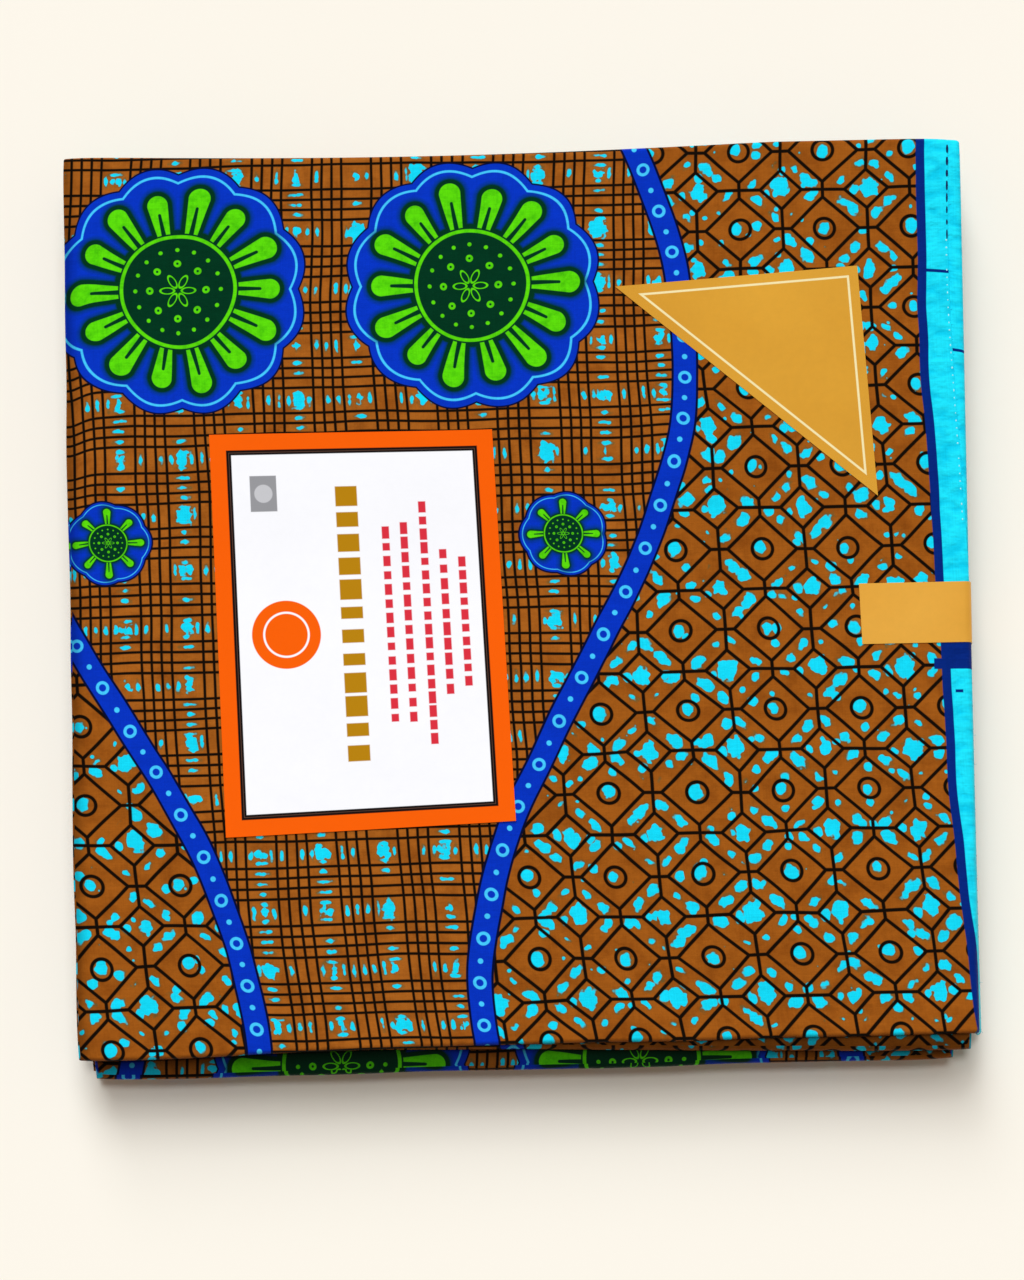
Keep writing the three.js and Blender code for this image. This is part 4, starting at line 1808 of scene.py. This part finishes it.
    def _side_place(self, side: Side, panel: int, level: int, point: Array) -> Pair:
        """Place on the flat cloth of a corner on one of the four sides.

        Args:
            side: the side.
            panel: the number of the panel that the face is in.
            level: the number of the corner's ring.
            point: the corner.

        Returns:
            The pair in metres.
        """
        x, y, _ = (float(c) for c in point)
        share = (level - panel * self.rings) / self.rings
        if side in (Side.FRONT, Side.BACK):
            loop, within = self._loop(panel, share, side)
            arc = (1.65 - 4.5 * (1.0 - within)) * MM
            jump = ((self.panels // 2 - 1 - loop) * 0.137) % self.repeat
            across, along = self.print_place[0] * MM, self.print_place[1] * MM
            if side is Side.BACK:
                return (-x - 0.12, -self.back_y * MM + arc + along - jump)
            edge = mix(self.front_left_y, self.front_right_y, x / 0.3 + 0.5) * MM
            return (x + across, edge + arc + along - jump)
        offset = (panel * 0.173 + self.seed * 0.05) % self.repeat
        if side is Side.LEFT:
            return (-0.151 - (share - 0.5) * 2.2 * MM - 0.3 * (panel % 2), y + offset)
        ply, order = self._ply(panel, share * 4 - 1e-6)
        if order < 2:
            return (0.1462 + (share * 4 - ply) * 0.4 * MM, y + offset)
        return (-0.451 + (share - 0.5) * 2 * MM, y + offset)

    def _cap_place(self, point: Array) -> Pair:
        """Place on the flat cloth of a corner on the upper or lower face."""
        return tuple(point[:2] + np.array(self.print_place) * MM)

    @staticmethod
    def _side_bake(side: Side, share: float, point: Array) -> Pair:
        """Bake place of a corner on a side: one strip for each side."""
        along = float(point[0] if side in (Side.FRONT, Side.BACK) else point[1])
        return (0.5 + along * 3.0, side.value * 0.12 + 0.01 + share * 0.10)

    @staticmethod
    def _cap_bake(point: Array) -> Pair:
        """Bake place of a corner on the upper or lower face."""
        x, y, z = (float(c) for c in point)
        shift = 0.5 if z < 0.002 else 0.0
        return (shift + 0.02 + (x + 0.17) * 1.3, 0.51 + (y + 0.17) * 1.35)

    @staticmethod
    def _end_faces(count: int, total: int) -> list[list[int]]:
        """The middle of the upper face and the whole of the lower one, as fans."""
        last, top, low = total - 2 - count, total - 2, total - 1
        faces: list[list[int]] = []
        for i in range(count):
            j = (i + 1) % count
            faces += [[last + i, last + j, top], [j, i, low]]
        return faces


# ---- Label, seal and tape ----


@dataclass
class PaperLabel:
    """The four-cornered label, lying on the top panel."""

    pile: Pile
    corners: tuple[Pair, ...] = (
        (-100.1, -81.3), (-2.9, -77.7), (-8.1, 56.3), (-104.0, 56.7))
    thickness: float = 0.16
    lift: float = 0.32
    bow: float = 0.1
    curls: tuple[float, float, float] = (0.9, 0.5, 0.35)
    width: ClassVar[float] = 96.5
    height: ClassVar[float] = 136.0
    columns: int = 40
    rows: int = 56

    def build(self, material: Material) -> Piece:
        """Build the label with its corners a little lifted.

        Args:
            material: what it is dressed in.

        Returns:
            The piece.
        """
        u, v = np.meshgrid(np.linspace(0, 1, self.columns), np.linspace(0, 1, self.rows))
        front_left, front_right, back_right, back_left = np.asarray(self.corners)
        low = mix(front_left, front_right, u[..., None])
        high = mix(back_left, back_right, u[..., None])
        plan = mix(low, high, v[..., None])
        tips = ((u * v) ** 10, ((1 - u) * (1 - v)) ** 12, (u * (1 - v)) ** 14)
        curl = sum(size * tip for size, tip in zip(self.curls, tips))
        bow = self.bow * np.sin(math.pi * u) * np.sin(2.2 * math.pi * v + 0.6)
        lift = self.lift + curl + bow
        grid = self.pile.over_side(plan[..., 0], plan[..., 1], lift, creased=False)
        place = np.stack([u * self.width, v * self.height], axis=-1) * MM
        bakes = (np.stack([u, 0.1 + 0.9 * v], -1), np.stack([u, 0.08 * v], -1))
        obj = shell("paper_label_sheet", grid, place, bakes, self.thickness * MM)
        finish_piece(obj, material, "label_paper", "paper_label")
        return obj


@dataclass
class CornerSeal:
    """The three-cornered seal, lying on the top panel."""

    pile: Pile
    corners: tuple[Pair, ...] = ((34.8, 105.1), (117.4, 110.6), (121.9, 30.6))
    thickness: float = 0.14
    lift: float = 0.2
    tip_lift: float = 0.25
    tip_reach: float = 9.0
    rows: int = 34
    bake_size: float = 90.0

    def build(self, material: Material) -> Piece:
        """Build the seal as a closed thin plate over a triangle of points.

        Args:
            material: what it is dressed in.

        Returns:
            The piece.
        """
        rows, corners = self.rows, np.asarray(self.corners)
        places = [(i, j) for i in range(rows + 1) for j in range(i + 1)]
        number = {place: k for k, place in enumerate(places)}
        plan = np.array([(i - j, j, rows - i) for i, j in places]) / rows @ corners
        count = len(plan)
        gaps = (np.linalg.norm(plan - corner, axis=1) for corner in corners)
        tips = sum(np.exp(-((gap / self.tip_reach) ** 2)) for gap in gaps)
        layers = [
            self.pile.over_side(
                plan[:, 0], plan[:, 1], self.lift + half + self.tip_lift * tips, creased=False)
            for half in (self.thickness / 2, -self.thickness / 2)
        ]
        upper = []
        for i, j in places[: -rows - 1]:
            upper.append([number[i, j], number[i + 1, j + 1], number[i + 1, j]])
            if j < i:
                upper.append([number[i, j], number[i, j + 1], number[i + 1, j + 1]])
        rim = [number[i, 0] for i in range(rows)] + [number[rows, j] for j in range(rows)]
        rim += [number[i, i] for i in range(rows, 0, -1)]
        faces = upper + [[q + count for q in face[::-1]] for face in upper]
        faces += [[a, b, b + count, a + count] for a, b in zip(rim, rim[1:] + rim[:1])]
        at = np.concatenate([np.asarray(face) for face in faces]) % count
        bake = (plan - plan.min(axis=0)) / self.bake_size
        uvs = {CLOTH_UV: plan[at] * MM, BAKE_UV: bake[at]}
        obj = make_object("corner_seal_sheet", np.concatenate(layers), faces, uvs)
        obj.data.set_sharp_from_angle(angle=CUT_EDGE)
        finish_piece(obj, material, "gold_paper", "corner_seal")
        return obj


@dataclass
class EdgeTape:
    """The tape that holds the selvedge, flat on the panel and down the side."""

    pile: Pile
    start_x: float = 114.5
    back_y: float = 0.6
    front_y: float = -20.2
    hang: float = 13.0
    hang_angle: float = math.radians(89)
    thickness: float = 0.14
    lift: float = 0.24
    bend_from: float = 16.0
    slant: float = 0.5
    flat_columns: int = 30
    bend_columns: int = 34
    rows: int = 14

    def build(self, material: Material) -> Piece:
        """Build the tape along the upper face and over the side.

        Args:
            material: what it is dressed in.

        Returns:
            The piece.
        """
        end = float(self.pile.side_x(self.back_y)) + self.hang
        bend = end - self.bend_from
        flat = np.linspace(self.start_x, bend, self.flat_columns)
        steps = np.concatenate([flat, np.linspace(bend, end, self.bend_columns)[1:]])
        s, t = np.meshgrid(steps, np.linspace(0, 1, self.rows))
        y = mix(self.front_y, self.back_y, t)
        s = np.where(s == steps[0], self.start_x + self.slant * (1 - t), s)
        grid = self.pile.over_side(s, y, self.lift, creased=False, hang=self.hang_angle)
        place = np.stack([s, y], axis=-1) * MM
        share = (s - self.start_x) / (end - self.start_x)
        bakes = (np.stack([share, 0.55 + 0.45 * t], -1), np.stack([share, 0.45 * t], -1))
        obj = shell("edge_tape_strip", grid, place, bakes, self.thickness * MM)
        finish_piece(obj, material, "gold_paper", "edge_tape")
        return obj


# ---- What repeats along the selvedge ----


class RowPlan(GroupPlan):
    """Builds one Geometry Nodes tree that sets a small piece again and again along a line."""

    def __init__(self, name: str, **usual: float) -> None:
        """Make the tree with its named inputs and the points along the line.

        Args:
            name: the tree's name.
            **usual: the usual value of each number that the tree takes.
        """
        inputs = {"Geometry": Socket.GEOMETRY, **usual, "Material": Socket.MATERIAL}
        super().__init__(name, inputs, {"Geometry": Socket.GEOMETRY}, "GeometryNodeTree")
        curve = self.node("GeometryNodeMeshToCurve", {"Mesh": self.source["Geometry"]})
        joins = {"Curve": curve.outputs[0], "Length": self.source["Spacing"]}
        spaced = self.node("GeometryNodeResampleCurve", joins, mode="LENGTH")
        joins = {"Curve": spaced.outputs[0]}
        self.dots = self.node("GeometryNodeCurveToPoints", joins, mode="EVALUATED").outputs
        kept = self.node("GeometryNodeInputNamedAttribute", {"Name": OUTWARD},
                         data_type="FLOAT_VECTOR")
        self.outward = kept.outputs[0]

    def random(self, low: float, high: float, seed: int) -> Plug:
        """A seeded number for each point."""
        joins = {2: low, 3: high, "Seed": seed}
        return self.node("FunctionNodeRandomValue", joins, data_type="FLOAT").outputs[1]

    def random_vector(self, low: Sequence[float], high: Sequence[float], seed: int) -> Plug:
        """A seeded arrow for each point."""
        joins = {0: low, 1: high, "Seed": seed}
        return self.node("FunctionNodeRandomValue", joins, data_type="FLOAT_VECTOR").outputs[0]

    def turned_up(self, way: Plug) -> Plug:
        """The rotation that stands a piece up along an arrow."""
        return self.node("FunctionNodeAlignRotationToVector", {"Vector": way}, axis="Z").outputs[0]

    def instances(self, piece: Plug, rotation: Plug, scale: object, seed: int) -> Plug:
        """Set the piece on the points that a seeded draw keeps.

        Args:
            piece: what is set.
            rotation: how it is turned.
            scale: how it is sized.
            seed: the draw's seed.

        Returns:
            All of them as plain geometry.
        """
        joins = {0: self.random(0.0, 1.0, seed), 1: self.source["Keep"]}
        draw = self.node("FunctionNodeCompare", joins, data_type="FLOAT", operation="LESS_THAN")
        joins = {"Points": self.dots["Points"], "Selection": draw.outputs[0], "Instance": piece,
                 "Rotation": rotation, "Scale": scale}
        placed = self.node("GeometryNodeInstanceOnPoints", joins)
        return self.node("GeometryNodeRealizeInstances", {0: placed.outputs[0]}).outputs[0]

    def dress(self, made: Plug) -> Tree:
        """Give the result its material and finish the tree."""
        joins = {"Geometry": made, "Material": self.source["Material"]}
        dressed = self.node("GeometryNodeSetMaterial", joins)
        self.join(dressed.outputs[0], self.sink["Geometry"])
        return self.tree


def marks_tree() -> Tree:
    """Tree that sets small domed marks along a line that lies on the cloth."""
    t = RowPlan("row of marks", Spacing=4 * MM, Length=MM, Width=0.6 * MM, Height=0.08 * MM,
                Keep=0.9)
    ball = t.node("GeometryNodeMeshUVSphere", {"Segments": 8, "Rings": 5, "Radius": 0.5})
    joins = {"Rotation": t.turned_up(t.outward), "Vector": t.dots["Tangent"]}
    along = t.node("FunctionNodeAlignRotationToVector", joins, axis="X", pivot_axis="Z")
    size = t.node("ShaderNodeCombineXYZ", dict(enumerate(
        t.source[key] for key in ("Length", "Width", "Height"))))
    draw = t.random_vector((0.6, 0.7, 0.8), (1.3, 1.3, 1.2), 11)
    scale = t.vector("MULTIPLY", {0: size.outputs[0], 1: draw})
    return t.dress(t.instances(ball.outputs["Mesh"], along.outputs[0], scale, 23))


def threads_tree() -> Tree:
    """Tree that lets short curved threads stand out from a cut edge."""
    t = RowPlan("loose threads", Spacing=6 * MM, Length=2 * MM, Radius=0.06 * MM, Keep=0.6)
    hair = t.node("GeometryNodeCurveQuadraticBezier", {
        "Resolution": 5, "Start": (0.0, 0.0, 0.0), "Middle": (0.12, 0.0, 0.55),
        "End": (0.55, 0.1, 0.8)})
    stray = t.random_vector((-0.5, -0.9, -0.5), (0.5, 0.9, 0.3), 5)
    up = t.turned_up(t.vector("ADD", {0: t.outward, 1: stray}))
    scale = t.math("MULTIPLY", t.source["Length"], t.random(0.4, 1.5, 41))
    hairs = t.instances(hair.outputs[0], up, scale, 37)
    joins = {"Resolution": 4, "Radius": t.source["Radius"]}
    ring = t.node("GeometryNodeCurvePrimitiveCircle", joins)
    joins = {"Curve": hairs, "Profile Curve": ring.outputs[0], "Fill Caps": True}
    return t.dress(t.node("GeometryNodeCurveToMesh", joins).outputs[0])


@dataclass
class SelvedgeTrim:
    """Pin holes, dark dashes that are partly painted shadow, and loose threads along the selvedges.
    """

    pile: Pile
    guide_steps: int = 90

    def build(self, dark: Material, pale: Material, wax: Material) -> None:
        """Build each row as one plain mesh, its sizes in millimetres."""
        marks, threads = marks_tree(), threads_tree()
        # partly painted shadow: dark dashes along the top ply's edge stand for pin holes and for
        # the shadow gaps under the wavy edge
        self._row("pin_dashes", marks, self._guide(151, 121, 0.35), dark, 0.9,
                  Spacing=4.2, Length=3.3, Width=0.75, Height=0.2)
        self._row("pin_holes", marks, self._guide(119, 22, 0.6), pale, 0.85,
                  Spacing=2.6, Length=0.7, Width=0.5, Height=0.14)
        self._row("pin_holes_front", marks, self._guide(-34, -150, 0.9), dark, 0.6,
                  Spacing=3.8, Length=0.6, Width=0.45, Height=0.12)
        self._row("selvedge_threads", threads, self._guide(152, -150, 0.05, 0.16), wax, 0.5,
                  Spacing=5.2, Length=1.3, Radius=0.05)

    def _guide(self, back: float, front: float, inward: float,
               drop: float = 0.0) -> Piece:
        """A line of edges on the top ply.

        Args:
            back: where it starts.
            front: where it ends.
            inward: how far it lies in from the selvedge.
            drop: how far it lies below the upper face; what grows from it then points outward.

        Returns:
            The line, with an arrow kept at each point.
        """
        y = np.linspace(back, front, self.guide_steps)
        s = self.pile.selvedge_x(y) - inward
        on = self.pile.over_side(s, y, -drop)
        if drop > 0:
            way = self.pile.over_side(s + 1.0, y, -drop) - on
        else:
            way = self.pile.over_side(s, y, 1.0) - on
        mesh = bpy.data.meshes.new("guide")
        mesh.from_pydata(on.tolist(), [(i, i + 1) for i in range(len(y) - 1)], [])
        kept = mesh.attributes.new(OUTWARD, "FLOAT_VECTOR", "POINT")
        way = way / np.linalg.norm(way, axis=1, keepdims=True)
        kept.data.foreach_set("vector", way.ravel())
        return link_object("guide", mesh)

    def _row(self, name: str, tree: Tree, guide: Piece, material: Material, keep: float,
             **sizes: float) -> None:
        """Run a tree on a guide and keep its result as a plain mesh.

        Args:
            name: the piece's name.
            tree: the tree.
            guide: the line that it runs on, which is removed after.
            material: what the piece is dressed in.
            keep: the share of the points that are kept.
            **sizes: the tree's other inputs, in millimetres.
        """
        given = {key: size * MM for key, size in sizes.items()}
        given.update(Keep=keep, Material=material)
        modifier = guide.modifiers.new("row", "NODES")
        modifier.node_group = tree
        for item in tree.interface.items_tree:
            if item.in_out == "INPUT" and item.name in given:
                modifier[item.identifier] = given[item.name]
        graph = bpy.context.evaluated_depsgraph_get()
        mesh = bpy.data.meshes.new_from_object(guide.evaluated_get(graph), depsgraph=graph)
        mesh.name = name
        guide.modifiers.remove(modifier)
        bpy.data.objects.remove(guide, do_unlink=True)
        finish_piece(link_object(name, mesh), material, "wax_cotton")


# ---- Studio ----


@dataclass
class Studio:
    """Pale floor, soft light from behind and a camera nearly straight above."""

    camera_at: tuple[float, float, float] = (-0.003947, -0.360058, 1.995616)
    forward: tuple[float, float, float] = (0.0, 0.17364818, -0.98480775)
    right: tuple[float, float, float] = (0.99975628, -0.02174123, -0.00383357)
    lens: float = 167.0
    sensor: float = 36.0
    far_end: float = 20.0
    floor_size: float = 3.0
    floor_z: float = -0.00002
    sky: float = 0.264
    sky_colour: tuple[float, float, float] = (1.0, 0.82, 0.68)
    lamp_colour: tuple[float, float, float] = (0.945, 1.004, 1.05)
    lamps: tuple[tuple[str, float, float, float, float], ...] = (
        ("overhead", 2.0, 0.0, 0.20, 8.0), ("high", 20.0, 0.0, 0.23, 28.0),
        ("behind", 40.0, 5.0, 0.24, 26.0), ("low", 58.0, 12.0, 0.13, 24.0),
    )

    def build(self) -> None:
        """Build the floor, the lights, the sky and the camera."""
        self._floor()
        for name, tilt, yaw, share, spread in self.lamps:
            self._lamp(name, math.radians(tilt), math.radians(yaw), share, math.radians(spread))
        world = bpy.data.worlds.new("sky")
        world.use_nodes = True
        sky = world.node_tree.nodes["Background"]
        sky.inputs["Color"].default_value = (*self.sky_colour, 1.0)
        sky.inputs["Strength"].default_value = self.sky
        bpy.context.scene.world = world
        bpy.context.scene.view_settings.view_transform = "Standard"
        self._camera()

    def _floor(self) -> None:
        """A flat sheet under the cloth."""
        half = self.floor_size / 2
        ways = ((-half, -half), (half, -half), (half, half), (-half, half))
        corners = np.array([(x, y, self.floor_z) for x, y in ways])
        floor = make_object("floor", corners, [(0, 1, 2, 3)])
        floor.data.materials.append(FloorFinish().material())

    def _lamp(self, name: str, tilt: float, yaw: float, share: float, spread: float) -> None:
        """A far soft light that leans back from straight above and gives a share of the light.

        Args:
            name: the lamp's name.
            tilt: its lean toward the back, in radians.
            yaw: its turn from the back toward the left, in radians.
            share: how much of a full light it lays on a level surface.
            spread: how wide it is seen from the cloth, in radians.
        """
        data = bpy.data.lights.new(name, "SUN")
        data.energy = share * math.pi / math.cos(tilt)
        data.color = self.lamp_colour
        data.angle = spread
        lamp = link_object(name, data)
        lamp.rotation_euler = (-tilt, 0.0, yaw)
        lamp.visible_glossy = False

    def _camera(self) -> None:
        """The camera, turned by its forward and right arrows."""
        data = bpy.data.cameras.new("camera")
        data.lens = self.lens
        data.sensor_width = self.sensor
        data.clip_end = self.far_end
        camera = link_object("camera", data)
        forward, right = Vector(self.forward), Vector(self.right)
        up = right.cross(forward)
        turn = Matrix((right, up, -forward)).transposed()
        camera.matrix_world = Matrix.Translation(self.camera_at) @ turn.to_4x4()
        bpy.context.scene.camera = camera


def lower_blocks(pile: Pile) -> list[FoldedBlock]:
    """The blocks under the top panel, from the bottom up, in millimetres."""
    third_z = pile.core_z + 8 * pile.ply + pile.gap
    # painted shade: the core is painted lighter than the two blocks just under the top panel's edge
    core = FoldedBlock(
        pile, "folded_layers_cloth", "folded_layers", panels=12, low_z=0.0, high_z=pile.core_z,
        front_left_y=-158.2, front_right_y=-158.6, back_y=154.0, left_front_x=-146.4,
        left_back_x=-151.6, inset=0.3, flare=0.0, print_place=(-48.0, 262.0), seed=5,
        flat=(0.33, 0.33), rests_on=(), right_in=6.0, crest=0.9, joint=0.45,
    )
    third = FoldedBlock(
        pile, "third_fold_cloth", "third_fold", panels=2, low_z=pile.core_z + pile.gap,
        high_z=third_z, front_left_y=-161.4, front_right_y=-160.2, back_y=153.4,
        left_front_x=-145.2, left_back_x=-152.0, inset=0.8, flare=0.0,
        print_place=(-48.0, 262.0), seed=2, flat=(0.30, 0.315), rests_on=(core.name,),
        stand=0.25, right_in=5.0,
    )
    second = FoldedBlock(
        pile, "second_fold_cloth", "second_fold", panels=2, low_z=third_z + pile.gap, high_z=None,
        front_left_y=-151.0, front_right_y=-158.0, back_y=152.6, left_front_x=-147.4,
        left_back_x=-150.6, inset=0.1, flare=1.6, print_place=(-14.0, -20.0), seed=3,
        flat=(0.30, 0.31), rests_on=(third.name,), stand=0.25,
    )
    return [core, third, second]


def main() -> None:
    """Build every piece in order."""
    logging.basicConfig(level=logging.INFO, format="%(name)s: %(message)s")
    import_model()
    pile = Pile()
    cotton = PrintedCotton().material()
    for block in lower_blocks(pile):
        block.build(cotton)
    TopPanel(pile).build(cotton)
    PaperLabel(pile).build(LabelPaper().material())
    seal = CornerSeal(pile)
    seal.build(GoldPaper("seal_paper", corners=seal.corners).material())
    EdgeTape(pile).build(GoldPaper("tape_paper", gold="FABE52", gold_deep="E2A036").material())
    SelvedgeTrim(pile).build(
        PlainThread("navy_mark", "0C2458").material(),
        PlainThread("pale_mark", "A8EEF6").material(),
        PlainThread("wax_thread", "22C4DE").material(),
    )
    Studio().build()


if __name__ == "__main__":
    main()
